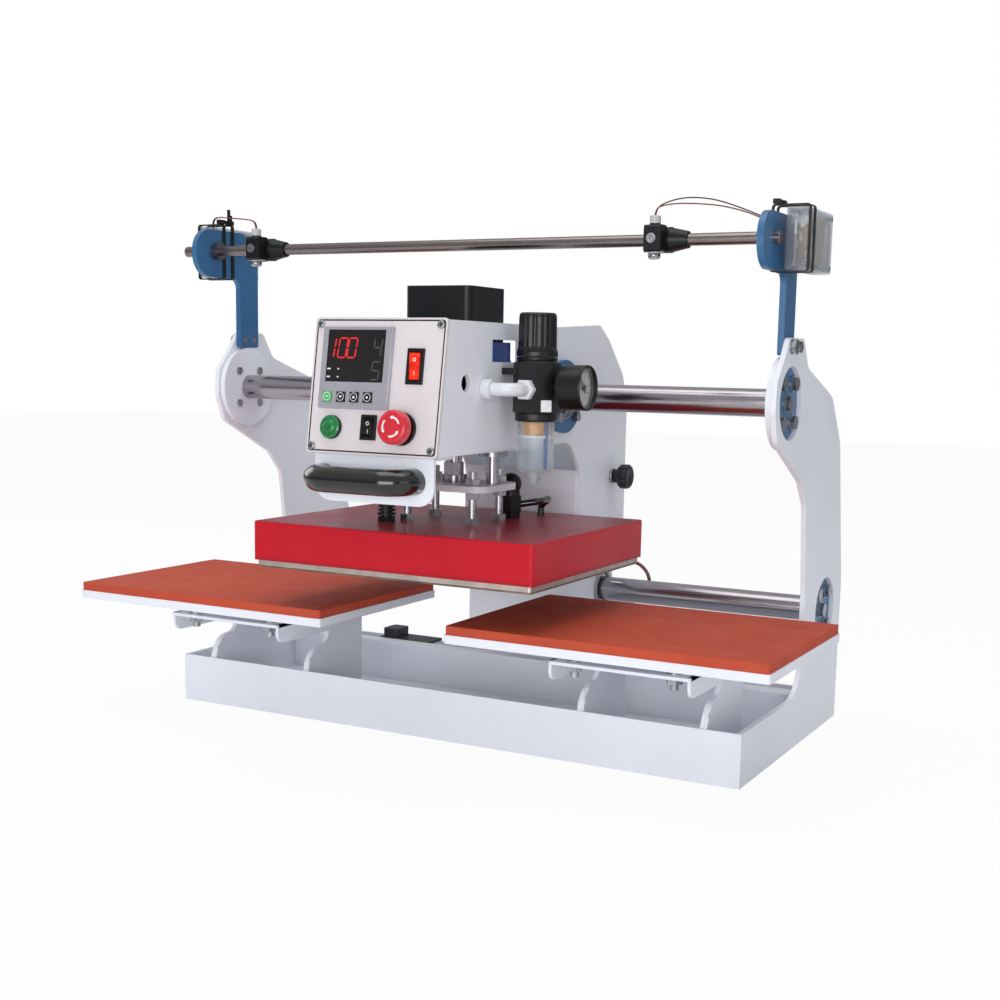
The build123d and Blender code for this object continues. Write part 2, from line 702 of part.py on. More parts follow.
def lead_gland():
    body = rod_y(car_rear - 8, car_rear + 6, lead_x, inlet_z, 8.0)
    for y0, y1, af in ((car_rear, car_rear + 6, 22), (car_rear + 6, car_rear + 20, 19)):
        flat = Plane(origin=(lead_x, y0, inlet_z), x_dir=(1, 0, 0), z_dir=(0, 1, 0))
        body += extrude(flat * RegularPolygon(af / 2, 6, major_radius=False), amount=y1 - y0)
    return body - rod_y(car_rear - 9, car_rear + 21, lead_x, inlet_z, 4.5)


def lock_knob():
    x0 = car_x + car_half
    screw = rod_x(x0 - 14, x0 + 12, lock_y(), lock_z(), 5.0) + rod_x(x0 + 0.4, x0 + 3.4, lock_y(), lock_z(), 8)
    hub = rod_x(x0 + 10, x0 + 24, lock_y(), lock_z(), 13)
    for dy, dz in around(5, 14.5, 90):
        hub += rod_x(x0 + 12, x0 + 24, lock_y() + dy * 0.72, lock_z() + dz * 0.72, 6.2)
    return screw + hub


def piston_rod():
    z_piston = 418.0
    piston = rod_z(z_piston, z_piston + 12, car_x, press_y, 31.5)
    foot = plate_z0 + 6.2
    shaft = rod_z(foot, z_piston, car_x, press_y, 8.0)
    coupling = hexagon_z(19, foot + 7, foot + 19, car_x, press_y) + rod_z(foot, foot + 7, car_x, press_y, 13)
    return piston + shaft + coupling


def guide_rods():
    group = []
    for dx in (-guide_dx, guide_dx):
        pin = rod_z(plate_z0, 362, car_x + dx, press_y, 6.0)
        group.append(chamfer(pin.edges().group_by(Axis.Z)[-1], 1.0))
    return group


def guide_bushes():
    group = []
    for dx in (-guide_dx, guide_dx):
        bush = ring_z(head_bottom - 1, head_bottom + 32, car_x + dx, press_y, 10.0, 6.05)
        bush += ring_z(head_bottom - 6, head_bottom, car_x + dx, press_y, 14.0, 6.05)
        group.append(bush)
    return group


def plate_bolt_spots():
    return [(car_x + dx, press_y + dy) for dx in (-36, 36) for dy in (-26, 26)]


def flange_plate():
    plate = slab(106, 76, plate_z0, plate_z0 + 6.2, 14, car_x, press_y)
    for x, y in plate_bolt_spots():
        plate -= rod_z(240, 265, x, y, 4.05)
    for dx in (-guide_dx, guide_dx):
        plate -= rod_z(240, 265, car_x + dx, press_y, 6.0)
    return plate


def flange_bolts():
    group = []
    for x, y in plate_bolt_spots():
        bolt = rod_z(cover_top - 6, plate_z0 + 19, x, y, 4.0)
        bolt += hexagon_z(13, plate_z0 + 6.2, plate_z0 + 12.5, x, y)
        bolt += hexagon_z(13, plate_z0 - 6.5, plate_z0, x, y)
        bolt += hexagon_z(13, cover_top, cover_top + 6.5, x, y)
        group.append(bolt)
    return group


def heater_cover():
    x0, x1 = car_x - cover_w / 2, car_x + cover_w / 2
    y0, y1 = press_y - cover_d / 2, press_y + cover_d / 2
    outer = slab(cover_w, cover_d, cover_bottom, cover_top, 3, car_x, press_y)
    outer = fillet(outer.edges().group_by(Axis.Z)[-1], 1.6)
    outer -= block(x0 + 1.5, x1 - 1.5, y0 + 1.5, y1 - 1.5, cover_bottom - 1, cover_top - 1.5)
    for x, y in plate_bolt_spots():
        outer -= rod_z(cover_top - 3, cover_top + 1, x, y, 4.05)
    outer -= rod_z(cover_top - 3, cover_top + 1, gland_x, gland_y, 7.02)
    outer -= rod_z(cover_top - 3, cover_top + 1, relief_x, relief_y, 5.02)
    outer -= rod_z(cover_top - 3, cover_top + 1, cable_x, cable_y, 4.5)
    return outer


def insulation_board():
    body = slab(cover_w - 3.4, cover_d - 3.4, 190, 212, 2, car_x, press_y)
    for x, y in plate_bolt_spots():
        body -= rod_z(180, 220, x, y, 7)
    for x, y, r in ((gland_x, gland_y, 9), (relief_x, relief_y, 7), (cable_x, cable_y, 6)):
        body -= rod_z(200, 220, x, y, r)
    return body


def heater_plate():
    return slab(cover_w - 5, cover_d - 5, 177, 190, 3, car_x, press_y)


def release_sheet():
    return slab(cover_w - 5.6, cover_d - 5.6, plate_under + 0.2, 177, 3, car_x, press_y)


gland_x, gland_y = 50.0, -41.0
relief_x, relief_y = -31.0, -140.0
cable_x, cable_y = 62.0, 2.0


def cable_gland():
    x, y = gland_x, gland_y
    nut = hexagon_z(18, cover_top, cover_top + 6.5, x, y) + rod_z(cover_top - 6, cover_top, x, y, 7.0)
    body = hexagon_z(20, cover_top + 6.5, cover_top + 22, x, y)
    neck = rod_z(cover_top + 22, cover_top + 30, x, y, 9)
    dome = Pos(x, y, cover_top + 34) * Sphere(10.5)
    return nut + body + neck + dome - heater_cable()


def strain_relief():
    x, y = relief_x, relief_y
    base = hexagon_z(16, cover_top, cover_top + 5, x, y) + rod_z(cover_top - 6, cover_top, x, y, 5.0)
    stem = rod_z(cover_top + 5, cover_top + 27, x, y, 5.5)
    rings = [rod_z(cover_top + 6.5 + i * 3.6, cover_top + 8.5 + i * 3.6, x, y, 9 - i * 0.4) for i in range(6)]
    for one in rings:
        stem += one
    return base + stem


def heater_cable():
    z0 = cover_top + 14
    spine = FilletPolyline((gland_x + 9, gland_y + 3, z0), (gland_x + 26, gland_y + 12, z0 + 3),
                           (gland_x + 24, gland_y + 38, z0 + 4), (cable_x, cable_y, cover_top + 10),
                           (cable_x, cable_y, cover_top - 6), radius=[7, 10, 5])
    direction = (17, 9, 3)
    return sweep(Plane(origin=(gland_x + 9, gland_y + 3, z0), z_dir=direction) * Circle(3.4), path=spine)


def laser_clamp(x):
    barrel = ring_x(x - 10, x + 10, bar_y, bar_z, 11.5, bar_r + 0.05)
    taper = Pos(x + 18, bar_y, bar_z) * Rot(0, 90, 0) * Cone(11, 7.5, 16)
    taper -= rod_x(x - 30, x + 40, bar_y, bar_z, bar_r + 0.05)
    cheek = block(x - 8, x + 8, bar_y - 24, bar_y - 8, bar_z - 12, bar_z + 12)
    cheek = fillet(cheek.edges().filter_by(Axis.X), 3)
    cheek -= rod_x(x - 12, x + 12, bar_y, bar_z, 11.4)
    cheek -= rod_z(bar_z - 20, bar_z + 20, x, bar_y - 17, 5.02)
    body = barrel + taper + cheek
    body -= rod_y(bar_y - 24.6, bar_y - 21.8, x, bar_z, 2.0)
    return body


def laser_module(x):
    barrel = rod_z(bar_z - 18, bar_z + 20, x, bar_y - 17, 5.0)
    return chamfer(barrel.edges().filter_by(GeomType.CIRCLE), 0.6)


laser_left_x, laser_right_x = -238.0, 207.0
wire_r, wire_gap = 0.6, 1.6


def wire_pair(points, lean):
    """Two wires side by side: the step between them turns from Y towards Z by the angles in lean."""
    pair = []
    for s in (-0.5, 0.5):
        steps = [(s * wire_gap * math.cos(math.radians(a)), s * wire_gap * math.sin(math.radians(a)))
                 for a in lean]
        pair.append(tube([(x, y + dy, z + dz) for (x, y, z), (dy, dz) in zip(points, steps)], wire_r))
    return pair


def laser_wires():
    top = bar_z + 20.4
    left = [(-board_x, -35, 506.1), (-board_x + 0.4, -36, 513.5), (-316, -44, 518.5), (-300, -53, 518.2),
            (-284, -59, 516), (-268, -64, 514.6), (-254, -68, 513), (-243.5, -71, 511.3),
            (-238.4, -72, 508), (laser_left_x, -72, top)]
    right = [(laser_right_x, -72, top), (207.3, -71.5, 508.5), (213, -69, 512.5), (226, -64.5, 515.5),
             (240, -59, 516), (256, -53, 514.5), (270, -47.5, 511), (282, -42, 507), (293, -36, 502.5),
             (300, -26, 498), (302.5, -12, 494.5), (304, 2, 492), (308.5, 10, 491), (316.5, 12.6, 490.5),
             (board_x - 0.9, 12.9, 490.4)]
    return wire_pair(left, [0] * 10) + wire_pair(right, [0, 5, 25, 50, 75] + [90] * 10)


def add(name, shapes):
    solids = []
    for one in shapes if isinstance(shapes, list) else [shapes]:
        solids += list(one.solids())
    parts[name] = solids[0] if len(solids) == 1 else Compound(children=solids)


add("base_tray", base_tray())
add("column_left", column(-1))
add("column_right", column(1))
add("upper_rod", slide_rod(0, upper_z))
add("lower_rod", slide_rod(lower_y, lower_z))
add("rod_flanges", rod_flanges())
add("frame_bolts", frame_bolts() + levelling_bolts())
add("platen_supports", platen_legs() + [saddle(-station_x), saddle(station_x)])
add("platens", [platen(-station_x), platen(station_x)])
add("silicone_pads", [pad(-station_x), pad(station_x)])
add("centre_stop", centre_stop())
add("laser_posts", [laser_post(-1), laser_post(1)])
add("laser_bar", laser_bar())
add("driver_boxes", [driver_box(-1), driver_box(1)])
add("driver_boards", [driver_boards(-1), driver_boards(1)])
add("cable_ties", [cable_tie(s, y) for s in (-1, 1) for y in (-42, -28)])
add("laser_clamp_left", [laser_clamp(laser_left_x), laser_module(laser_left_x)])
add("laser_clamp_right", [laser_clamp(laser_right_x), laser_module(laser_right_x)])
add("laser_wires", laser_wires())
add("side_plate_left", side_plate(-1))
add("side_plate_right", side_plate(1))
add("head_shell", head_shell() + [handle_plate()])
add("lower_box", lower_box())
add("bearing_housings", bearing_tubes() + bearing_flanges())
add("linear_bearings", linear_bearings() + guide_bushes())
add("carriage_bolts", carriage_bolts())
add("control_panel", control_panel())
add("controller_case", [controller_case(), controller_screen()])
for number, u in enumerate(key_u, 1):
    add("controller_key_%d" % number, controller_key(u))
add("switch_bodies", switch_bodies())
add("power_rocker", on_panel(red_u, red_v, 0, rocker_cap(13, 27)))
add("mode_rocker", on_panel(black_u, black_v, 0, rocker_cap(12, 18)))
add("start_button", start_button())
add("stop_button", estop_head())
add("handle", handle())
add("cylinder_body", cylinder_body())
add("solenoid_valve", solenoid_valve())
add("regulator_body", regulator_body())
add("filter_element", filter_element())
add("filter_bowl", filter_bowl())
add("regulator_knob", regulator_knob())
add("gauge_case", gauge_case())
add("gauge_needle", gauge_needle())
add("air_elbow", air_elbow())
add("rear_fittings", [air_inlet(), lead_gland(), hose_elbow(hose_top), hose_elbow(hose_low)])
add("air_hose", air_hose())
add("lock_knob", lock_knob())
add("piston_rod", piston_rod())
add("guide_rods", guide_rods())
add("flange_plate", flange_plate())
add("flange_bolts", flange_bolts())
add("heater_cover", heater_cover())
add("insulation_board", insulation_board())
add("heater_plate", heater_plate())
add("release_sheet", release_sheet())
add("cable_fittings", [cable_gland(), strain_relief()])
add("heater_cable", heater_cable())

for name, shape in parts.items():
    export_step(shape, "parts/%s.step" % name)
    print(name, len(shape.solids()), round(sum(s.volume for s in shape.solids()) / 1000, 2), "cm3")
print(len(parts), "nodes")
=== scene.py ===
import bpy
import math
import numpy as np
from mathutils import Matrix, Vector


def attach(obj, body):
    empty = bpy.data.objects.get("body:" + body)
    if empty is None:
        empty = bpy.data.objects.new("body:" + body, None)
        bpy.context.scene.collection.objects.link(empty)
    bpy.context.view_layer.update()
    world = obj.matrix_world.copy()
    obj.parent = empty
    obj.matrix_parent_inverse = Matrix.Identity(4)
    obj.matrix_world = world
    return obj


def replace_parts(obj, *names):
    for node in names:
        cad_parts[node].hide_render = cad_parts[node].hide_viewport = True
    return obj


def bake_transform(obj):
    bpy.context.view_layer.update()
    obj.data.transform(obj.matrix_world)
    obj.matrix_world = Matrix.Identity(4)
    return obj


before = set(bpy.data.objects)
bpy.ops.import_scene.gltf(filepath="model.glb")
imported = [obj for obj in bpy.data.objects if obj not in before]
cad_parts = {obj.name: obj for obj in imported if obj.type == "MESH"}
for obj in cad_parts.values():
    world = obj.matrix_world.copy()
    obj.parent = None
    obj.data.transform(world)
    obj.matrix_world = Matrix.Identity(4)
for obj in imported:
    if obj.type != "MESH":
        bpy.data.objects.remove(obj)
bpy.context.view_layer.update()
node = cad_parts


def linear(hexColour):
    # sRGB hex to linear: a channel c becomes c/12.92 below 0.04045, else ((c + 0.055)/1.055) to the 2.4
    raw = [int(hexColour[i:i + 2], 16) / 255 for i in (1, 3, 5)]
    return [c / 12.92 if c <= 0.04045 else ((c + 0.055) / 1.055) ** 2.4 for c in raw] + [1.0]


def addNode(tree, kind, inputs=None, **settings):
    # one shader node with its settings; inputs maps a socket's name or number to a socket or a value
    made = tree.nodes.new(kind)
    for key, value in settings.items():
        setattr(made, key, value)
    for key, value in (inputs or {}).items():
        if isinstance(value, bpy.types.NodeSocket):
            tree.links.new(value, made.inputs[key])
        else:
            made.inputs[key].default_value = value
    return made


def mixColour(tree, factor, a, b):
    return addNode(tree, "ShaderNodeMix", {0: factor, 6: a, 7: b}, data_type="RGBA").outputs[2]


def maths(tree, operation, a, b=0.0):
    return addNode(tree, "ShaderNodeMath", {0: a, 1: b}, operation=operation).outputs[0]


def span(tree, value, fromLow, fromHigh, low=0.0, high=1.0):
    # a straight line from (fromLow, low) to (fromHigh, high), held level outside
    return addNode(tree, "ShaderNodeMapRange", {"Value": value, "From Min": fromLow, "From Max": fromHigh,
                                                "To Min": low, "To Max": high}).outputs[0]


def place(tree, stretch=(1, 1, 1)):
    # Object coordinates are metres in the shared frame; a small stretch runs the pattern long on that axis
    where = addNode(tree, "ShaderNodeTexCoord").outputs["Object"]
    return addNode(tree, "ShaderNodeMapping", {"Vector": where, "Scale": stretch}).outputs[0]


def noise(tree, sizeMm, detail=3.0, stretch=(1, 1, 1)):
    # noise with blobs about sizeMm across
    return addNode(tree, "ShaderNodeTexNoise", {"Vector": place(tree, stretch), "Scale": 1000.0 / sizeMm,
                                                "Detail": detail, "Roughness": 0.55}).outputs["Fac"]


def axisOf(tree, letter):
    where = addNode(tree, "ShaderNodeTexCoord").outputs["Object"]
    return addNode(tree, "ShaderNodeSeparateXYZ", {0: where}).outputs["XYZ".index(letter)]


def material(name, setting):
    # a finish from one dictionary: colour with a broad tint, fine grain in gloss and height, optional specks
    # and a second colour chosen by place
    mat = bpy.data.materials.new(name)
    mat.use_nodes = True
    tree = mat.node_tree
    shader = tree.nodes["Principled BSDF"]
    base = linear(setting["colour"])
    dark = [c * (1 - setting.get("tint", 0.05)) for c in base[:3]] + [1.0]
    if "shade" in setting:
        dark = linear(setting["shade"])
    colour = mixColour(tree, span(tree, noise(tree, setting.get("tintMm", 90)), 0.38, 0.62), dark, base)
    if "specks" in setting:
        sizeMm, cut, tone = setting["specks"]
        colour = mixColour(tree, span(tree, noise(tree, sizeMm, 2.0), cut, cut + 0.06), colour, linear(tone))
    if "where" in setting:
        colour = setting["where"](tree, colour)
    tree.links.new(colour, shader.inputs["Base Color"])
    grain = noise(tree, setting.get("grainMm", 1.2), 3.0, setting.get("stretch", (1, 1, 1)))
    smear = noise(tree, setting.get("smearMm", 38), 4.0)
    gloss = maths(tree, "ADD", maths(tree, "MULTIPLY", grain, 0.35), maths(tree, "MULTIPLY", smear, 0.65))
    tree.links.new(span(tree, gloss, 0.3, 0.7, setting["rough"] * 0.78, min(1.0, setting["rough"] * 1.25)),
                   shader.inputs["Roughness"])
    bump = addNode(tree, "ShaderNodeBump", {"Height": grain, "Strength": setting.get("bump", 0.1),
                                            "Distance": setting.get("depthMm", 0.1) / 1000})
    if setting.get("edgeMm"):  # a soft edge, as paint or a ground corner has
        edge = addNode(tree, "ShaderNodeBevel", {"Radius": setting["edgeMm"] / 1000}, samples=4)
        tree.links.new(edge.outputs[0], bump.inputs["Normal"])
    tree.links.new(bump.outputs[0], shader.inputs["Normal"])
    plain = {"Metallic": "metal", "Coat Weight": "coat", "Coat Roughness": "coatRough", "IOR": "ior",
             "Specular IOR Level": "specular", "Transmission Weight": "clear", "Alpha": "alpha",
             "Emission Strength": "glow"}
    for socket, key in plain.items():
        if key in setting:
            shader.inputs[socket].default_value = setting[key]
    if "glowColour" in setting:
        shader.inputs["Emission Color"].default_value = linear(setting["glowColour"])
    return mat


def finish(mat, *names):
    for name in names:
        thing = node[name]
        if not thing.material_slots:
            thing.data.materials.append(mat)
        for each in thing.material_slots:
            each.material = mat


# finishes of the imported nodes

blur = 0.0001  # metres on each side of a line where one finish gives way to the next
# powder coated sheet steel: satin white with a faint cool orange peel about 1 mm across
powderWhite = {"colour": "#e9ecf4", "tint": 0.04, "tintMm": 150, "rough": 0.42, "grainMm": 1.1, "bump": 0.16,
               "depthMm": 0.06, "coat": 0.12, "coatRough": 0.3, "edgeMm": 0.5}
whiteCoat = material("sheetSteelPowderCoatedWhite", powderWhite)
finish(whiteCoat, "base_tray", "column_left", "column_right", "platen_supports", "platens", "side_plate_left",
       "side_plate_right", "head_shell", "lower_box")
# the moving plate above the heater: the same coat, thinner and a little greyer with handling
plateGrey = {**powderWhite, "colour": "#dbdbe0", "tint": 0.09, "tintMm": 30}
finish(material("steelPlatePowderCoatedGrey", plateGrey), "flange_plate")
# ground bar with hard chrome: near mirror, turned lines round it too fine to part
chromeBar = {"colour": "#aba6ab", "tint": 0.06, "tintMm": 45, "rough": 0.2, "metal": 1.0, "grainMm": 0.8,
             "stretch": (5, 0.3, 0.3), "bump": 0.05, "depthMm": 0.02, "smearMm": 60}
finish(material("steelBarHardChromed", chromeBar), "upper_rod", "lower_rod", "piston_rod", "guide_rods")
finish(material("steelTubeNickelPlated", {**chromeBar, "colour": "#8b8180", "rough": 0.26}), "laser_bar")
bearingTube = {"axes": ((0.0, 0.3385), (0.151, 0.1245)), "radius": 0.0222, "steel": "#9fa2a8"}


def tubeOrFlange(tree, colour):
    # tubes are ground steel within 22.2 mm of either rod's axis, and painted outside it
    offsets = []
    for y, z in bearingTube["axes"]:
        dy = maths(tree, "SUBTRACT", axisOf(tree, "Y"), y)
        dz = maths(tree, "SUBTRACT", axisOf(tree, "Z"), z)
        squares = maths(tree, "ADD", maths(tree, "MULTIPLY", dy, dy), maths(tree, "MULTIPLY", dz, dz))
        offsets.append(maths(tree, "SQRT", squares))
    near = maths(tree, "MINIMUM", offsets[0], offsets[1])
    radius = bearingTube["radius"]
    outside = span(tree, near, radius - blur, radius + blur)
    return mixColour(tree, outside, linear(bearingTube["steel"]), colour)


flangeFace = 0.3118  # metres from the middle, where the outer flanges begin


def outerFace(tree, colour):
    # a flange is blue on its outer face only, and white where it meets the rod inside
    reach = maths(tree, "ABSOLUTE", axisOf(tree, "X"))
    outside = span(tree, reach, flangeFace - blur, flangeFace + blur)
    return mixColour(tree, outside, linear(powderWhite["colour"]), colour)


# blue sprayed steel: dark steel blue, thin enough for a slight peel
bluePaint = {"colour": "#2b6796", "tint": 0.12, "tintMm": 60, "rough": 0.36, "grainMm": 0.9, "bump": 0.14,
             "depthMm": 0.04, "coat": 0.25, "coatRough": 0.2, "edgeMm": 0.4}
finish(material("sheetSteelPaintedBlue", bluePaint), "laser_posts")
finish(material("steelDiscBlueOutside", {**bluePaint, "where": outerFace}), "rod_flanges")
finish(material("bearingHousingBlueAndSteel", {**bluePaint, "where": tubeOrFlange}), "bearing_housings")
solenoidBlue = {**bluePaint, "colour": "#2b5db4", "tint": 0.25, "tintMm": 9}
finish(material("solenoidBodyBlueLacquer", solenoidBlue), "solenoid_valve")
# bright zinc plated fasteners: a little milky, with darker patches about 5 mm across
zincBolt = material("steelBoltZincPlated", {
    "colour": "#b6b6ba", "tint": 0.25, "tintMm": 5, "rough": 0.3, "metal": 1.0, "grainMm": 0.5, "bump": 0.2,
    "depthMm": 0.03, "smearMm": 5})
finish(zincBolt, "frame_bolts", "carriage_bolts", "flange_bolts")
# silicone sponge sheet: matt orange red, pores of half a millimetre and pale handling marks
sponge = {"colour": "#c04c31", "shade": "#b8472f", "tintMm": 60, "rough": 0.7, "grainMm": 1.3, "bump": 0.45,
          "depthMm": 0.12, "specks": (1.6, 0.68, "#cc6546"), "specular": 0.35, "smearMm": 25}
finish(material("siliconeSpongePressed", sponge), "silicone_pads")
coverHeights = {"bottom": 0.1822, "darkRimTo": 0.1862, "paintedShadeTopFrom": 0.2182, "top": 0.2189}


def scorchedRim(tree, colour):
    # the enamel is darker over the bottom 4 mm of the cover, and its top face carries painted shade, a duller
    # darker red
    height = axisOf(tree, "Z")
    darkRim = span(tree, height, coverHeights["bottom"], coverHeights["darkRimTo"])
    rim = mixColour(tree, darkRim, mixColour(tree, 0.35, colour, linear("#4a0a0c")), colour)
    paintedShadeTop = span(tree, height, coverHeights["paintedShadeTopFrom"], coverHeights["top"])
    return mixColour(tree, paintedShadeTop, rim, linear("#8e2231"))


# stove enamel over sheet steel: deep red gloss that mirrors the head above it
# the cover's top face gets painted shade, a darker red, through its where setting
redEnamel = {"colour": "#c0001c", "tint": 0.06, "tintMm": 110, "rough": 0.36, "grainMm": 2.2, "bump": 0.05,
             "depthMm": 0.05, "coat": 0.15, "coatRough": 0.16, "specular": 0.25, "smearMm": 70, "edgeMm": 0.8,
             "where": scorchedRim}
finish(material("sheetSteelStoveEnamelRed", redEnamel), "heater_cover")
finish(material("aluminiumPlateMilled", {
    "colour": "#c9bfb6", "tint": 0.18, "tintMm": 18, "rough": 0.4, "metal": 1.0, "grainMm": 0.7,
    "stretch": (0.15, 3, 3), "bump": 0.2, "depthMm": 0.04}), "heater_plate")
# glass cloth coated with brown fluoropolymer: oily brown with a fine crossed weave
finish(material("glassClothCoatedBrown", {
    "colour": "#7d6250", "shade": "#5e4436", "tintMm": 24, "rough": 0.48, "grainMm": 1.0, "bump": 0.35,
    "depthMm": 0.06}), "release_sheet")
finish(material("mineralWoolBoardPressed", {
    "colour": "#b9b09c", "tint": 0.15, "tintMm": 9, "rough": 0.92, "grainMm": 1.2, "bump": 0.5,
    "depthMm": 0.25}), "insulation_board")
# moulded nylon and ABS in black: satin, spark eroded grain near half a millimetre
mouldedBlack = {"colour": "#0f0f11", "tint": 0.2, "tintMm": 26, "rough": 0.36, "grainMm": 0.7, "bump": 0.25,
                "depthMm": 0.05, "smearMm": 16, "specular": 0.35, "edgeMm": 0.35}
mouldedNylon = material("nylonMouldedBlack", mouldedBlack)
finish(mouldedNylon, "switch_bodies", "regulator_body", "gauge_case", "lock_knob", "mode_rocker", "cable_ties",
       "rear_fittings", "cable_fittings")
knobAcetal = material("acetalKnobBlackSatin", {**mouldedBlack, "colour": "#171719", "rough": 0.3})
finish(knobAcetal, "regulator_knob")
finish(material("keyCapPolishedBlack", {**mouldedBlack, "colour": "#191a1c", "rough": 0.25}),
       "controller_key_2", "controller_key_3", "controller_key_4")
# dipped vinyl: wet looking black with long soft ripples
dippedGrip = {"colour": "#0a0a0c", "tint": 0.25, "tintMm": 14, "rough": 0.2, "grainMm": 9, "bump": 0.2,
              "depthMm": 0.25, "coat": 0.6, "coatRough": 0.06, "smearMm": 12}
dippedVinyl = material("vinylDippedBlack", dippedGrip)
finish(dippedVinyl, "handle", "heater_cable")
slatePlate = {**mouldedBlack, "colour": "#2f343c", "rough": 0.45}
finish(material("steelPlateBlackedSlate", slatePlate), "centre_stop")
# anodised aluminium: near black, extruded, with a dull metal gloss
anodised = {"colour": "#090b10", "tint": 0.3, "tintMm": 30, "rough": 0.36, "grainMm": 0.5, "bump": 0.12,
            "depthMm": 0.02, "specular": 0.35, "edgeMm": 0.4}
finish(material("aluminiumAnodisedBlack", anodised), "cylinder_body")
laserBarrel = {"y": -0.072, "z": 0.4835, "clampHalf": 0.0122, "radius": 0.0052, "steel": "#b9b8bb"}


def steelBarrel(tree, colour):
    # the laser barrel is silver where it stands out above and below its clamp
    dy = maths(tree, "ABSOLUTE", maths(tree, "SUBTRACT", axisOf(tree, "Y"), laserBarrel["y"]))
    dz = maths(tree, "ABSOLUTE", maths(tree, "SUBTRACT", axisOf(tree, "Z"), laserBarrel["z"]))
    half, radius = laserBarrel["clampHalf"], laserBarrel["radius"]
    ends = span(tree, dz, half - blur, half + blur)
    inLine = span(tree, dy, radius - blur, radius + blur, 1.0, 0.0)
    return mixColour(tree, maths(tree, "MULTIPLY", ends, inLine), colour, linear(laserBarrel["steel"]))


clampFinish = material("clampBlackWithSteelBarrel", {**anodised, "where": steelBarrel})
finish(clampFinish, "laser_clamp_left", "laser_clamp_right")
# screen printed polycarbonate overlay: pale warm grey, very fine texture
finish(material("polycarbonateOverlayPrinted", {
    "colour": "#dcd5d8", "tint": 0.05, "tintMm": 70, "rough": 0.38, "grainMm": 0.8, "bump": 0.08,
    "depthMm": 0.03, "edgeMm": 0.4}), "control_panel")
caseGrey = {**mouldedBlack, "colour": "#bdbcc4", "rough": 0.4}
finish(material("controllerCaseMouldedGrey", caseGrey), "controller_case")
# moulded acrylic and ABS: clear gloss over strong colour, the rocker lit from inside
finish(material("acrylicRockerRedLit", {
    "colour": "#b80d06", "shade": "#e8350c", "tintMm": 7, "rough": 0.14, "coat": 0.5, "glow": 0.3,
    "glowColour": "#ff2a08", "edgeMm": 0.4}), "power_rocker")
finish(material("plasticMushroomRed", {
    "colour": "#d0202f", "tint": 0.08, "tintMm": 14, "rough": 0.3, "coat": 0.3, "coatRough": 0.15,
    "grainMm": 0.8, "bump": 0.08}), "stop_button")
greenLens = {"colour": "#0d7a3c", "shade": "#095f2c", "tintMm": 5, "rough": 0.14, "coat": 0.6, "glow": 0.04,
             "glowColour": "#2ad070"}
lensGreen = material("acrylicLensGreen", greenLens)
finish(lensGreen, "start_button")
# the key cap takes the lens's faint green glow as well: a painted glow, as the key holds no lamp
keyGreen = {**greenLens, "colour": "#4fb66a", "shade": "#3fa65c", "rough": 0.35}
finish(material("keyCapGreen", keyGreen), "controller_key_1")
# moulded polycarbonate: clear with a grey cast, half see-through
clearCase = {"colour": "#d5dae4", "tint": 0.04, "tintMm": 12, "rough": 0.1, "grainMm": 5, "bump": 0.08,
             "depthMm": 0.1, "clear": 0.85, "ior": 1.25, "alpha": 0.5}
clearBox = material("polycarbonateClearBox", clearCase)
finish(clearBox, "driver_boxes")
finish(material("polycarbonateClearBowl", {**clearCase, "colour": "#e6eff6"}), "filter_bowl")


def boardColours(tree, colour):
    # board in pale tan, the cell beside it in white and silver blotches
    return mixColour(tree, span(tree, noise(tree, 9, 1.0), 0.52, 0.56), colour, linear("#e9e7e2"))


finish(material("circuitBoardTanWithParts", {
    "colour": "#b9a27a", "shade": "#8f8f92", "tintMm": 6, "rough": 0.45, "grainMm": 1.1, "bump": 0.4,
    "depthMm": 0.2, "where": boardColours}), "driver_boards")
# sintered bronze: grainy yellow, as cast beads half a millimetre across
finish(material("bronzeFilterSintered", {
    "colour": "#e6a544", "shade": "#cf8a2c", "tintMm": 4, "rough": 0.6, "grainMm": 0.7, "bump": 0.5,
    "depthMm": 0.15}), "filter_element")
finish(material("acetalFittingWhite", {
    "colour": "#dddfe4", "tint": 0.05, "tintMm": 9, "rough": 0.34, "grainMm": 0.8, "bump": 0.12,
    "edgeMm": 0.4}), "air_elbow")
groundSteel = material("bearingSteelGround", {
    "colour": "#9b9da2", "tint": 0.12, "tintMm": 20, "rough": 0.25, "metal": 1.0, "grainMm": 0.5, "bump": 0.1})
finish(groundSteel, "linear_bearings")
needleBlack = material("needleEnamelBlack", {"colour": "#151515", "tint": 0.1, "rough": 0.4})
finish(needleBlack, "gauge_needle")
# extruded polyurethane tube: rust red, wet gloss
finish(material("polyurethaneTubeRustRed", {
    "colour": "#774244", "shade": "#683637", "tintMm": 12, "rough": 0.28, "grainMm": 1.0, "bump": 0.05,
    "coat": 0.4}), "air_hose")
print("finishes done")

# shapes for the added pieces


def addPiece(name, points, faces, mat, body, smooth=False):
    # a mesh from rows of points in metres and faces, riding on a body
    mesh = bpy.data.meshes.new(name)
    mesh.from_pydata(np.asarray(points, dtype=float).tolist(), [], faces)
    mesh.materials.append(mat)
    if smooth:
        mesh.polygons.foreach_set("use_smooth", np.ones(len(mesh.polygons), dtype=bool))
    mesh.update()
    made = bpy.data.objects.new(name, mesh)
    bpy.context.scene.collection.objects.link(made)
    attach(made, body)
    return made


def gridFaces(rows, columns):
    # quads of a grid of rows x columns points, closed over the columns
    r, c = np.meshgrid(np.arange(rows - 1), np.arange(columns), indexing="ij")
    nextC = (c + 1) % columns
    quads = (r * columns + c, r * columns + nextC, (r + 1) * columns + nextC, (r + 1) * columns + c)
    return np.stack(quads, -1).reshape(-1, 4).tolist()


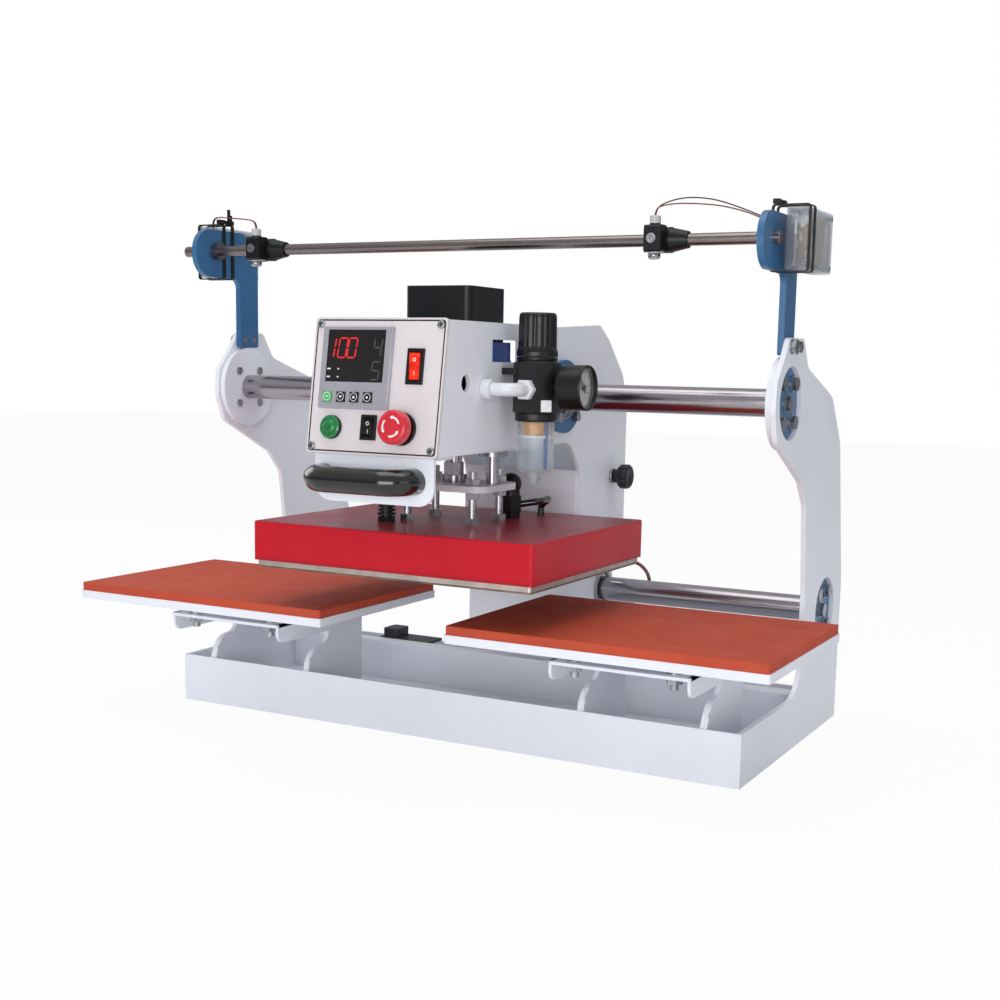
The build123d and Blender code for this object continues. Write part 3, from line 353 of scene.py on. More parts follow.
def prism(outline, low, high, toWorld):
    # an outline (n x 2, counterclockwise, mm) raised from low to high; toWorld gives metres
    n = len(outline)
    flat = np.asarray(outline, dtype=float)
    both = np.concatenate([np.column_stack([flat, np.full(n, level)]) for level in (low, high)])
    faces = gridFaces(2, n) + [list(range(n, 2 * n)), list(range(n - 1, -1, -1))]
    return toWorld(both), faces


def ringPrism(outer, inner, low, high, toWorld):
    # the band between two outlines with as many points each, raised from low to high
    n = len(outer)
    rings = [np.column_stack([np.asarray(o, dtype=float), np.full(n, w)])
             for o, w in ((outer, low), (outer, high), (inner, high), (inner, low))]
    faces = gridFaces(4, n)
    i = np.arange(n)
    faces += np.stack([3 * n + i, 3 * n + (i + 1) % n, (i + 1) % n, i], -1).tolist()
    return toWorld(np.concatenate(rings)), faces


def joined(parts):
    # several (points, faces) made one
    points, faces, start = [], [], 0
    for p, f in parts:
        points.append(np.asarray(p))
        faces += [[i + start for i in face] for face in f]
        start += len(p)
    return np.concatenate(points), faces


def roundedBox(w, h, r, n=6):
    # corner arcs of radius r in turn, n + 1 points each, counterclockwise from the right
    t = np.linspace(0, np.pi / 2, n + 1)
    x, y = w / 2 - r, h / 2 - r
    arcs = [np.column_stack([cx + r * np.cos(t + k * np.pi / 2), cy + r * np.sin(t + k * np.pi / 2)])
            for cx, cy, k in ((x, y, 0), (-x, y, 1), (-x, -y, 2), (x, -y, 3))]
    return np.concatenate(arcs)


def circle(r, n=48, cx=0.0, cy=0.0):
    t = np.arange(n) * 2 * np.pi / n
    return np.column_stack([cx + r * np.cos(t), cy + r * np.sin(t)])


def arcBand(r, width, start, stop, n=24, arrow=0.0):
    # a band of that width on an arc of degrees start to stop, with an arrow head at its end
    t = np.radians(np.linspace(start, stop, n))
    outer = np.column_stack([(r + width / 2) * np.cos(t), (r + width / 2) * np.sin(t)])
    inner = np.column_stack([(r - width / 2) * np.cos(t), (r - width / 2) * np.sin(t)])[::-1]
    if arrow:
        e = math.radians(stop)
        tip = math.radians(stop + math.degrees(arrow / r))
        head = np.array([[(r + width * 1.1) * math.cos(e), (r + width * 1.1) * math.sin(e)],
                         [r * math.cos(tip), r * math.sin(tip)],
                         [(r - width * 1.1) * math.cos(e), (r - width * 1.1) * math.sin(e)]])
        return np.concatenate([outer, head, inner])
    return np.concatenate([outer, inner])


def lathe(profile, n=48):
    # a profile of (radius, height) turned about its axis; radius 0 at an end closes it
    prof = np.asarray(profile, dtype=float)
    t = np.arange(n) * 2 * np.pi / n
    r, h = prof[:, :1], prof[:, 1:]
    points = np.stack([r * np.cos(t), r * np.sin(t), h + 0 * t], -1).reshape(-1, 3)
    return points, gridFaces(len(prof), n)


def turned(profile, toWorld, n=48):
    # a lathe shape with both ends closed by a fan of one face
    points, faces = lathe(profile, n)
    faces += [list(range(n - 1, -1, -1)), list(range((len(profile) - 1) * n, len(profile) * n))]
    return toWorld(points), faces


seenFromTop = [[1, 0, 0], [0, 1, 0], [0, 0, 1]]  # a drawing's right, up and out as directions in the frame
seenFromFront = [[1, 0, 0], [0, 0, 1], [0, -1, 0]]
seenFromRight = [[0, 1, 0], [0, 0, 1], [1, 0, 0]]
# the control panel leans back by run over rise; its middle is on the back of the sheet
panel = {"width": 136.0, "height": 120.0, "thick": 3.0, "middle": (15.0, -226.5, 347.5),
         "run": 17.0, "rise": 117.0}
lean = math.atan2(panel["run"], panel["rise"])
panelAxes = np.array([[1, 0, 0], [0, math.sin(lean), math.cos(lean)], [0, -math.cos(lean), math.sin(lean)]])
panelCentre = np.array(panel["middle"]) + panel["thick"] * panelAxes[2]


def onPanel(u=0.0, v=0.0):
    # panel millimetres (right, up, out) about (u, v) to metres
    return lambda p: (panelCentre + (np.asarray(p) + (u, v, 0)) @ panelAxes) / 1000


def facing(axes, centre):
    # millimetres along three axes about a centre to metres
    return lambda p: (np.asarray(centre) + np.asarray(p) @ np.asarray(axes, dtype=float)) / 1000


def shifted(toWorld, u, v, w=0.0):
    # the same drawing plane with its middle moved by (u, v, w)
    return lambda p: toWorld(np.asarray(p) + (u, v, w))


def bar(u0, u1, v0, v1, low, high, toWorld):
    return prism([(u0, v0), (u1, v0), (u1, v1), (u0, v1)], low, high, toWorld)


def plainInk(name, colour, **more):
    # screen printed ink or label film: flat colour, slight mottling
    return material(name, {"colour": colour, "tint": 0.06, "tintMm": 6, "rough": 0.4, "grainMm": 0.8,
                           "bump": 0.05, "depthMm": 0.02, **more})


# control panel

panelPrint = {"lineWidth": 1.3, "inset": 1.7, "ink": "#161619", "paleInk": "#e8e8e8", "filmTop": 0.06}
cornerScrew = {"u": 62.0, "v": 54.0, "slotHalf": 2.2, "slotWide": 0.42, "low": 1.38, "high": 1.46}
blackInk = plainInk("inkScreenPrintedBlack", panelPrint["ink"])
whiteInk = plainInk("inkScreenPrintedWhite", panelPrint["paleInk"])
line, inset = panelPrint["lineWidth"], panelPrint["inset"]
wide, high = panel["width"] - 2 * inset, panel["height"] - 2 * inset
borderLine = ringPrism(roundedBox(wide, high, 3), roundedBox(wide - 2 * line, high - 2 * line, 2.2),
                       0.005, panelPrint["filmTop"], onPanel())
addPiece("panelBorderLine", *borderLine, blackInk, "carriage")
# the crossed recess of each corner screw, dark at its bottom
u, v, a, b = (cornerScrew[key] for key in ("u", "v", "slotHalf", "slotWide"))
crosses = [bar(x - w, x + w, y - h, y + h, cornerScrew["low"], cornerScrew["high"], onPanel())
           for x in (-u, u) for y in (-v, v) for w, h in ((a, b), (b, a))]
addPiece("panelScrewCrosses", *joined(crosses), blackInk, "carriage")
# grey bezel sheet over the controller's face, cut away round the window and the keys
controller = {"u": -20.0, "v": 15.5, "half": 35.4, "bezelLow": 5.0, "bezelTop": 5.25, "bezel": "#9c9ba4",
              "windowHalf": 30.2, "windowLow": -12.8, "windowHigh": 33.2, "windowColour": "#1f1b1d",
              "keys": (-26.0, -11.5, 2.5, 16.5), "keyRow": -26.0, "keyHalf": 5.2, "keyTop": 6.4, "glass": 4.9,
              "led": "#ff1818", "dimLed": "#3f4a47", "digitHeight": 17.0, "film": 0.05}
bezelGrey = material("bezelFilmSilverGrey", {
    "colour": controller["bezel"], "tint": 0.06, "tintMm": 20, "rough": 0.38, "grainMm": 0.7, "bump": 0.1,
    "depthMm": 0.02, "edgeMm": 0.3})
onController = onPanel(controller["u"], controller["v"])
edge, opening, sill = controller["half"], controller["windowHalf"], controller["windowLow"]
keyLow, keyHigh = (controller["keyRow"] + sign * controller["keyHalf"] for sign in (-1, 1))
strips = [(-edge, edge, -edge, keyLow), (-edge, edge, keyHigh, sill), (-edge, -opening, sill, edge),
          (opening, edge, sill, edge), (-opening, opening, controller["windowHigh"], edge)]
gaps = [-edge] + [k + sign * controller["keyHalf"] for k in controller["keys"] for sign in (-1, 1)] + [edge]
strips += [(left, right, keyLow, keyHigh) for left, right in zip(gaps[::2], gaps[1::2])]
bezel = [bar(*strip, controller["bezelLow"], controller["bezelTop"], onController) for strip in strips]
addPiece("controllerBezel", *joined(bezel), bezelGrey, "carriage")
# smoked acrylic window over the digits
window = material("acrylicWindowSmoked", {"colour": controller["windowColour"], "tint": 0.1, "tintMm": 30,
                                          "rough": 0.42, "grainMm": 3, "bump": 0.02, "specular": 0.25})
pane = prism(roundedBox(60.6, 46.0, 1.5), 4.32, controller["glass"], onPanel(controller["u"], 25.8))
addPiece("controllerWindow", *pane, window, "carriage")
segments = {"0": "abcdef", "1": "bc", "4": "bcfg", "5": "acdfg"}
glassTop = controller["glass"]
inkTop = glassTop + controller["film"]


def digit(figure, u, v, height):
    # seven slanted bars a to g of a lamp digit, each a thin six sided prism
    w, t = height * 0.5, height * 0.085
    half = height / 2
    spots = {"a": (0, half, 0), "g": (0, 0, 0), "d": (0, -half, 0), "f": (-w / 2, half / 2, 1),
             "b": (w / 2, half / 2, 1), "e": (-w / 2, -half / 2, 1), "c": (w / 2, -half / 2, 1)}
    pieces = []
    for letter in segments[figure]:
        cx, cy, upright = spots[letter]
        reach = (half if upright else w) / 2 - t * 0.75
        shape = np.array([(-reach - t / 2, 0), (-reach, -t / 2), (reach, -t / 2),
                          (reach + t / 2, 0), (reach, t / 2), (-reach, t / 2)])
        if upright:
            shape = np.column_stack([-shape[:, 1], shape[:, 0]])
        shape = shape + (cx, cy)
        shape[:, 0] += shape[:, 1] * 0.12
        pieces.append(prism(shape + (u, v), glassTop, inkTop, onController))
    return joined(pieces)


ledRed = material("lampDigitRed", {"colour": "#b3141c", "tint": 0.15, "tintMm": 3, "rough": 0.5, "glow": 0.4,
                                   "glowColour": controller["led"]})
ledDim = material("lampDigitUnlit", {"colour": controller["dimLed"], "tint": 0.1, "tintMm": 3, "rough": 0.5})
reading = [digit(figure, u, 17.0, controller["digitHeight"]) for figure, u in zip("100", (-26.5, -14.0, -4.0))]
addPiece("controllerDigitsRed", *joined(reading), ledRed, "carriage")
unlit = [digit("4", 22.5, 17.5, 15.5), digit("5", 22.0, -2.5, 15.5)]
addPiece("controllerDigitsUnlit", *joined(unlit), ledDim, "carriage")
marks = [bar(u - w, u + w, v - 0.6, v + 0.6, glassTop, inkTop, onController)
         for u, v, w in ((-27, -1.5, 1.8), (-27, -8.5, 1.8), (-17, -1.5, 0.8), (-17, -8.5, 0.8))]
addPiece("controllerLampMarks", *joined(marks), whiteInk, "carriage")


def keyRing(number, shape):
    # a thin white circle with a plain sign inside on one key
    key = onPanel(controller["u"] + controller["keys"][number - 1], controller["v"] + controller["keyRow"])
    low = controller["keyTop"]
    top = low + controller["film"]
    parts = [ringPrism(circle(3.7, 32), circle(3.2, 32), low, top, key), prism(shape, low, top, key)]
    addPiece("keyMark%d" % number, *joined(parts), whiteInk, "key_%d" % number)


keyRing(1, [(-1.6, -0.4), (1.6, -0.4), (1.6, 0.4), (-1.6, 0.4)])
keyRing(2, [(0, -1.6), (1.7, 1.1), (-1.7, 1.1)])
keyRing(3, [(0, 1.6), (-1.7, -1.1), (1.7, -1.1)])
keyRing(4, circle(1.1, 20))
# stop head: three curved arrows round its flat top
stopHead = {"u": 31.0, "v": -36.0, "top": 18.0, "arrowRadius": 8.3, "arrowWide": 1.7, "arrowTurn": 62,
            "arrowTip": 2.6}
arrows = [prism(arcBand(stopHead["arrowRadius"], stopHead["arrowWide"], start, start + stopHead["arrowTurn"],
                        arrow=stopHead["arrowTip"]),
                stopHead["top"], stopHead["top"] + 0.06, onPanel(stopHead["u"], stopHead["v"]))
          for start in (20, 140, 260)]
addPiece("stopArrows", *joined(arrows), whiteInk, "stop_push")


def capFace(h, part):
    # the rocker cap's upper or lower face as (v, w) of two points, from its own profile
    tall = h - 4.4
    return ((-tall / 2, 1.4), (0, 2.4)) if part == "low" else ((0, 2.4), (tall / 2, 3.6))


def onCap(u, v, h, part):
    # a point (right, up the face, out) on one half of a rocker cap to metres
    (v0, w0), (v1, w1) = capFace(h, part)
    slope = math.atan2(w1 - w0, v1 - v0)
    base = onPanel(u, v)

    def convert(p):
        p = np.asarray(p)
        along = (v0 + v1) / 2 + p[:, 1] * math.cos(slope) - p[:, 2] * math.sin(slope)
        out = (w0 + w1) / 2 + p[:, 1] * math.sin(slope) + p[:, 2] * math.cos(slope)
        return base(np.column_stack([p[:, 0], along, out]))
    return convert


rockers = {"powerMarks": ("power_switch", 39.5, 18.0, 27.0), "modeMarks": ("mode_switch", -3.0, -36.0, 18.0)}
for name, (body, u, v, h) in rockers.items():
    upper, lower = onCap(u, v, h, "high"), onCap(u, v, h, "low")
    stroke = [(-0.3, -1.7), (0.3, -1.7), (0.3, 1.7), (-0.3, 1.7)]
    signs = [ringPrism(circle(1.7, 28), circle(1.1, 28), 0.0, 0.05, upper), prism(stroke, 0.0, 0.05, lower)]
    addPiece(name, *joined(signs), whiteInk, body)
# green button: a glossy green skirt down to its ring, and a lens with a rounded edge and a nearly flat top
startButton = {"u": -42.0, "v": -37.0, "lensRadius": 5.9, "lensLow": 5.02, "lensRise": 1.6,
               "lensTop": (0.4, 6.4)}
startAt = onPanel(startButton["u"], startButton["v"])
skirtPoints, skirtFaces = lathe([[6.5, 3.05], [10.2, 3.05], [10.4, 3.9], [9.6, 4.7], [7.6, 4.9], [6.5, 4.6]])
addPiece("startSkirt", startAt(skirtPoints), skirtFaces, lensGreen, "carriage", True)
edgeTurn = np.linspace(0, np.pi, 12)[:6] / 2.2  # the first 37 degrees of the dome's curve
dome = np.column_stack([startButton["lensRadius"] * np.cos(edgeTurn),
                        startButton["lensLow"] + startButton["lensRise"] * np.sin(edgeTurn)])
dome = np.concatenate([dome, [startButton["lensTop"]]])
addPiece("startLens", *turned(dome, startAt, 40), lensGreen, "start_push", True)
print("panel done")
# pressure gauge and regulator

gauge = {"centre": (157.0, -111.0, 349.5), "face": 18.6, "startDeg": 225.0, "sweepDeg": 270.0, "steps": 10,
         "tickOuter": 17, "longTick": (3.6, 0.45), "shortTick": (1.9, 0.22),
         "numbersAt": 11.2, "numberSize": 3.4}
gaugeAt = facing(seenFromRight, gauge["centre"])
dialWhite = plainInk("dialEnamelPale", "#dcdcdc", rough=0.3)
addPiece("gaugeDial", *prism(circle(gauge["face"], 64), 0.02, 0.3, gaugeAt), dialWhite, "carriage")
angles = np.radians(gauge["startDeg"] - np.linspace(0, gauge["sweepDeg"], gauge["steps"] * 5 + 1))
ticks = []
for i, a in enumerate(angles):
    deep, wide = gauge["longTick"] if i % 5 == 0 else gauge["shortTick"]
    along, across = np.array([math.cos(a), math.sin(a)]), np.array([-math.sin(a), math.cos(a)])
    outer, inner = along * gauge["tickOuter"], along * (gauge["tickOuter"] - deep)
    corners = [outer - across * wide, outer + across * wide, inner + across * wide, inner - across * wide]
    ticks.append(prism(corners, 0.3, 0.36, gaugeAt))
addPiece("gaugeTicks", *joined(ticks), blackInk, "carriage")


def numberPiece(name, text, height, toWorld, mat, body):
    # a number from the built-in font as a flat mesh, its place applied
    curve = bpy.data.curves.new(name, "FONT")
    curve.body, curve.size, curve.align_x, curve.align_y = text, height, "CENTER", "CENTER"
    curve.resolution_u = 3
    holder = bpy.data.objects.new(name + "Curve", curve)
    mesh = bpy.data.meshes.new_from_object(holder)
    flat = np.empty(len(mesh.vertices) * 3)
    mesh.vertices.foreach_get("co", flat)
    mesh.vertices.foreach_set("co", np.asarray(toWorld(flat.reshape(-1, 3))).ravel())
    mesh.materials.clear()
    mesh.materials.append(mat)
    mesh.update()
    bpy.data.objects.remove(holder)
    made = bpy.data.objects.new(name, mesh)
    bpy.context.scene.collection.objects.link(made)
    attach(made, body)
    return made


for i in range(0, gauge["steps"] + 1, 2):
    a = angles[i * 5]
    spot = shifted(gaugeAt, gauge["numbersAt"] * math.cos(a), gauge["numbersAt"] * math.sin(a), 0.38)
    numberPiece("gaugeNumber%d" % i, str(i), gauge["numberSize"], spot, blackInk, "carriage")
glassLens = material("gaugeLensClear", {"colour": "#f2f6f8", "tint": 0.01, "rough": 0.03, "grainMm": 20,
                                        "bump": 0.0, "clear": 0.95, "ior": 1.2, "alpha": 0.22})
rim = np.array([[18.6, 4.9], [18.6, 5.3], [17.4, 5.9], [12.0, 6.3], [0.3, 6.5]])
addPiece("gaugeLens", *turned(rim, gaugeAt, 64), glassLens, "carriage", True)
# the case: a drawn cup whose mouth is rolled round the lens, on a stub with a hexagon; a new hand goes with it
caseProfile = [[0.4, -18.4], [18.2, -18.2], [20.0, -16.6], [20.3, -14.0], [20.3, 4.6], [20.6, 5.6],
               [20.2, 7.0], [19.3, 7.3], [18.7, 6.4], [18.7, 0.0]]
casePoints, caseFaces = lathe(caseProfile, 64)
stub = prism(circle(8.1, 6), -24.8, -18.3, gaugeAt)
neck = prism(circle(6.0, 30), -33.0, -24.0, gaugeAt)
cup = joined([(gaugeAt(casePoints), caseFaces), stub, neck])
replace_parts(addPiece("gaugeCup", *cup, mouldedNylon, "carriage", False), "gauge_case")
handTurn = math.radians(40)
handOutline = np.array([(-1.2, -6), (1.2, -6), (0.35, 14), (-0.35, 14)])
turnedBack = np.array([[math.cos(handTurn), math.sin(handTurn)], [-math.sin(handTurn), math.cos(handTurn)]])
handPiece = joined([prism(handOutline @ turnedBack, 2.0, 2.6, gaugeAt),
                    prism(circle(2.8, 30), 1.8, 3.2, gaugeAt), prism(circle(1.0, 20), 0.0, 3.6, gaugeAt)])
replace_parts(addPiece("gaugeHand", *handPiece, needleBlack, "needle"), "gauge_needle")
# bare white label, and a near-black film of painted shade for the sight slot, each on the bevelled corner to
# the right of the front
regulator = {"x": 112.0, "y": -111.0, "side": 40, "chamfer": 11.7, "low": 326.6, "high": 371.2,
             "cornerFace": 14.14, "labelZ": 332.5, "slotZ": 348.5, "flutes": 20, "fluteDepth": 0.02}
labelFilm = plainInk("labelFilmWhite", "#e9e9ec", rough=0.3)
halfRoot = math.sqrt(0.5)
cornerAt = [[halfRoot, halfRoot, 0], [0, 0, 1], [halfRoot, -halfRoot, 0]]


def onCorner(out, z):
    # millimetres on the bevelled corner; out shifts the middle along X and Y alike
    reach = regulator["cornerFace"]
    return facing(cornerAt, (regulator["x"] + reach + out, regulator["y"] - reach + out, z))


labelSheet = prism(roundedBox(10, 10.5, 0.8), 0.02, 0.15, onCorner(2.0, regulator["labelZ"]))
addPiece("regulatorLabel", *labelSheet, labelFilm, "carriage")
# the slot is a flat near-black film: painted shade in place of its depth
slotShadeBlack = material("slotPaintedShadeDark", {**mouldedBlack, "colour": "#020203", "rough": 0.2})
slotPaintedShade = prism(roundedBox(4.2, 15.0, 0.6), 0.02, 0.12, onCorner(-3.2, regulator["slotZ"]))
addPiece("regulatorSlotShade", *slotPaintedShade, slotShadeBlack, "carriage")
capAt = facing(seenFromTop, (regulator["x"], regulator["y"], 0.0))
# the body is moulded with eight sides, with the bowl's collar under it and an arm to the side plate
eight = roundedBox(regulator["side"], regulator["side"], regulator["chamfer"], 1)
arm = prism(roundedBox(17, 28, 1), 360.0, 366.0, facing(seenFromTop, (89.0, regulator["y"], 0.0)))
collar = turned([[16.0, 317.8], [19.0, 318.2], [19.5, 320.0], [19.5, 325.0], [18.8, 326.0]], capAt, 56)
shoulder = turned([[19.6, 371.0], [18.2, 372.6], [16.9, 376.2]], capAt, 56)
shell = joined([prism(eight * 0.985, 325.8, 326.8, capAt),
                prism(eight, regulator["low"], regulator["high"], capAt), shoulder, collar, arm])
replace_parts(addPiece("regulatorShell", *shell, mouldedNylon, "carriage"), "regulator_body")


def fluted(radii, heights, share, flutes, depth, steps, toWorld):
    # a knob: the radius at each height times 1 - depth times share times (1 - cos of flutes times the angle)
    angle = np.arange(steps) * 2 * np.pi / steps
    r, h = np.array(radii)[:, None], np.array(heights)[:, None]
    reach = r * (1 - depth * np.array(share)[:, None] * (1 - np.cos(flutes * angle))[None])
    points = np.stack([reach * np.cos(angle), reach * np.sin(angle), h + 0 * reach], -1).reshape(-1, 3)
    return toWorld(points), gridFaces(len(radii), steps)


# the knob: 20 flutes, plain at the flared foot
pressureKnob = fluted([18.2, 18.9, 18.9, 18.2, 17.7, 17.5, 17.3, 16.8, 15.2, 0.3],
                      [376.6, 377.0, 380.5, 383.0, 385.0, 398.0, 411.5, 414.4, 415.8, 416.0],
                      [0, 0, 0, 0, 1, 1, 1, 0.6, 0, 0],
                      regulator["flutes"], regulator["fluteDepth"], 160, capAt)
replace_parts(addPiece("regulatorKnobFluted", *pressureKnob, knobAcetal, "pressure_knob"), "regulator_knob")
# grooved cap ring between knob and body
lockRing = [[16.9, 373.1], [18.4, 373.4], [18.8, 374.0], [18.4, 374.8], [18.8, 375.6], [18.2, 376.2],
            [16.9, 376.4]]
points, faces = lathe(lockRing, 64)
addPiece("regulatorLockRing", capAt(points), faces, mouldedNylon, "carriage", True)
# blue dip tube and a pale rim in the bowl
dipTube = material("nylonTubeBlue", {"colour": "#41639c", "tint": 0.1, "tintMm": 6, "rough": 0.3,
                                     "grainMm": 0.8, "bump": 0.05})
tubeAt = facing(seenFromTop, (124.2, -115.0, 0.0))
tube = turned([[1.5, 275.3], [1.9, 275.8], [1.9, 321.0], [1.5, 321.6]], tubeAt, 20)
addPiece("bowlTube", *tube, dipTube, "carriage", True)
points, faces = lathe([[13.7, 303.1], [14.2, 303.4], [14.2, 305.4], [13.7, 305.8]])
addPiece("filterRim", capAt(points), faces, labelFilm, "carriage", True)
print("regulator done")

# laser ends

laser = {"bar": (-55.0, 482.5), "left": -238.0, "right": 207.0, "barrelY": -72.0, "clampFront": -79.0,
         "clampEnd": 9.4, "ringStep": 2.6, "ringRadius": 11.52, "ringDepth": 0.55}


def ribs(x0, count):
    # rounded rings side by side along the bar: radius + depth times the positive half of a sine
    step = laser["ringStep"]
    h = np.linspace(0, count * step, count * 8 + 1)
    r = laser["ringRadius"] + laser["ringDepth"] * np.abs(np.sin(np.pi * h / step))
    points, faces = lathe(np.column_stack([r, h]), 40)
    return facing(seenFromRight, (x0, *laser["bar"]))(points), faces


for side in ("left", "right"):
    x = laser[side]
    body = "laser_" + side
    addPiece("clampRings" + side.capitalize(), *ribs(x - laser["clampEnd"], 3), mouldedNylon, body, True)
    # socket screw head in the front of the clamp: a disc with a six sided pit
    frontAt = facing(seenFromFront, (x, laser["clampFront"], laser["bar"][1]))
    hexa = np.repeat(circle(2.1, 6), 6, axis=0)
    screw = [ringPrism(circle(4.4, 36), hexa, 0.02, 2.6, frontAt), prism(circle(4.2, 36), 0.02, 0.9, frontAt)]
    addPiece("clampScrew" + side.capitalize(), *joined(screw), zincBolt, body)
    # plain steel lens ring under the barrel
    barrelAt = facing(seenFromTop, (x, laser["barrelY"], 0.0))
    points, faces = lathe([[5.02, 465.6], [5.6, 466.0], [5.6, 469.2], [5.02, 469.6]], 36)
    addPiece("lensRing" + side.capitalize(), barrelAt(points), faces, groundSteel, body, True)

# laser wires: each a spline through its pair's route, a red and a black one side by side
wire = {"radius": 0.0006, "apart": 1.6, "spread": 2.0}
wireRoutes = {
    "left": [(-325.8, -35, 506.1), (-325.4, -36, 513.5), (-316, -44, 518.5), (-300, -53, 518.2),
             (-284, -59, 516), (-268, -64, 514.6), (-254, -68, 513), (-243.5, -71, 511.3), (-238.4, -72, 508),
             (-238, -72, 502.9)],
    "right": [(325.0, 12.9, 490.4), (316.5, 12.6, 490.5), (308.5, 10, 491), (304, 2, 492), (302.5, -12, 494.5),
              (300, -26, 498), (293, -36, 502.5), (282, -42, 507), (270, -47.5, 511), (256, -53, 514.5),
              (240, -59, 516), (226, -64.5, 515.5), (213, -69, 512.5), (207.3, -71.5, 508.5),
              (207, -72, 502.9)]}
wireTurn = {"left": [0] * 10, "right": [90] * 10 + [75, 50, 25, 5, 0]}  # degrees of the pair about its run
wirePart = {"left": [0] * 10, "right": [0] * 8 + [0.6, 1.5, 2.0, 1.6, 0.6, 0, 0]}  # how far the two part
sheaths = {"Red": material("wireSheathRed", {"colour": "#7d1d1c", "tint": 0.1, "rough": 0.4}),
           "Black": material("wireSheathBlack", {"colour": "#100f11", "tint": 0.1, "rough": 0.4})}
for side, route in wireRoutes.items():
    for step, tone in ((-0.5, "Red"), (0.5, "Black")):
        curve = bpy.data.curves.new("wireCurve", "CURVE")
        curve.dimensions = "3D"
        curve.bevel_depth, curve.bevel_resolution, curve.resolution_u = wire["radius"], 3, 6
        spline = curve.splines.new("NURBS")
        spline.points.add(len(route) - 1)
        for point, (x, y, z), angle, part in zip(spline.points, route, wireTurn[side], wirePart[side]):
            a = math.radians(angle)
            shift = step * wire["apart"] * math.cos(a)
            rise = step * (wire["apart"] * math.sin(a) + wire["spread"] * part)
            point.co = (x / 1000, (y + shift) / 1000, (z + rise) / 1000, 1)
        spline.order_u, spline.use_endpoint_u = 3, True
        holder = bpy.data.objects.new("wireHolder", curve)
        mesh = bpy.data.meshes.new_from_object(holder)
        mesh.materials.clear()
        mesh.materials.append(sheaths[tone])
        bpy.data.objects.remove(holder)
        made = bpy.data.objects.new("wire" + side.capitalize() + tone, mesh)
        bpy.context.scene.collection.objects.link(made)
        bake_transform(made)
        if side == "left" and tone == "Red":
            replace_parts(made, "laser_wires")

driverBox = {"wallX": 336.3, "y": -5.0, "z": 483.0, "postU": 34, "postV": 22, "postRadius": 2.2}
labelTan = plainInk("labelFilmTanOnBox", "#c9bda0", rough=0.35, specks=(2.2, 0.6, "#a99a82"))
corners = [(u * driverBox["postU"], v * driverBox["postV"]) for u in (-1, 1) for v in (-1, 1)]
for side in (1, -1):
    # film label inside the box wall, and four screw posts with dark screws at the corners
    outwards = [[0, side, 0], [0, 0, 1], [side, 0, 0]]
    outAt = facing(outwards, (side * driverBox["wallX"], driverBox["y"], driverBox["z"]))
    name = "Right" if side > 0 else "Left"
    addPiece("boxLabel" + name, *prism(roundedBox(34, 40, 1.5), -0.25, -0.02, outAt), labelTan, "frame")
    radius = driverBox["postRadius"]
    posts = [turned([[radius, -15.0], [radius, -0.2]], shifted(outAt, u, v), 20) for u, v in corners]
    addPiece("boxPosts" + name, *joined(posts), clearBox, "frame", False)
    heads = [ringPrism(circle(2.1, 20, u, v), circle(0.8, 20, u, v), 1.92, 2.2, outAt) for u, v in corners]
    addPiece("boxScrews" + name, *joined(heads), blackInk, "frame")
print("laser ends done")

# welds

welds = {"ripple": 0.35, "pitch": 3.4, "swell": 0.12, "swellPitch": 17.0, "step": 0.85, "sides": 10}


def bead(start, stop, radius):
    # a weld bead: a round section carried from start to stop, its radius rippled along the way, closed ends
    a, b = np.asarray(start, dtype=float), np.asarray(stop, dtype=float)
    length = np.linalg.norm(b - a)
    n = max(8, int(length / welds["step"]))
    s = np.linspace(0, 1, n)
    swell = radius * (1 + welds["ripple"] * 0.5 * np.sin(2 * np.pi * s * length / welds["pitch"])
                      + welds["swell"] * np.sin(2 * np.pi * s * length / welds["swellPitch"] + a.sum()))
    swell = swell * np.sqrt(np.clip(np.minimum(s, 1 - s) * length / radius, 0.05, 1))
    along = (b - a) / length
    side = np.cross(along, (0.31, 0.52, 0.79))
    side = side / np.linalg.norm(side)
    other = np.cross(along, side)
    sides = welds["sides"]
    t = np.arange(sides) * 2 * np.pi / sides
    ring = np.cos(t)[:, None] * side + np.sin(t)[:, None] * other
    points = (a + s[:, None] * (b - a))[:, None, :] + swell[:, None, None] * ring[None]
    faces = gridFaces(n, sides)
    faces += [list(range(sides - 1, -1, -1)), list(range((n - 1) * sides, n * sides))]
    return points.reshape(-1, 3) / 1000, faces


# platen supports: upright legs on a foot that swells forward, and a folded saddle plate on each pair.
# the foot's outline is a quarter ellipse of the two swell lengths, run into the leg by a hollow quarter circle
support = {"x": 219.0, "legX": 61.0, "thick": 5.0, "front": -97.5, "foot": (-74.0, 50.0),
           "swell": (23.5, 23.0), "hollow": 14.0, "legFront": -60.0, "back": 2.0, "low": 3.0, "high": 104.0,
           "saddle": (136, 124), "saddleY": -93.0, "saddleTop": 107.0, "foldX": 66.5}
quarter = np.linspace(0, np.pi / 2, 14)
footY, footZ = support["foot"]
swellY, swellZ = support["swell"]
hollow = support["hollow"]
footCurve = np.column_stack([footY - swellY * np.cos(quarter), footZ + swellZ * np.sin(quarter)])
hollowCurve = np.column_stack([footY + hollow * np.sin(quarter),
                               footZ + swellZ + hollow * (1 - np.cos(quarter))])
legOutline = np.concatenate([[(support["front"], support["low"])], footCurve, hollowCurve[1:],
                             [(support["legFront"], support["high"]), (support["back"], support["high"]),
                              (support["back"], support["low"])]])[::-1]
fold = np.concatenate([roundedBox(119, 38, 10)[14:], [(59.5, 0), (-59.5, 0)]])
supports = []
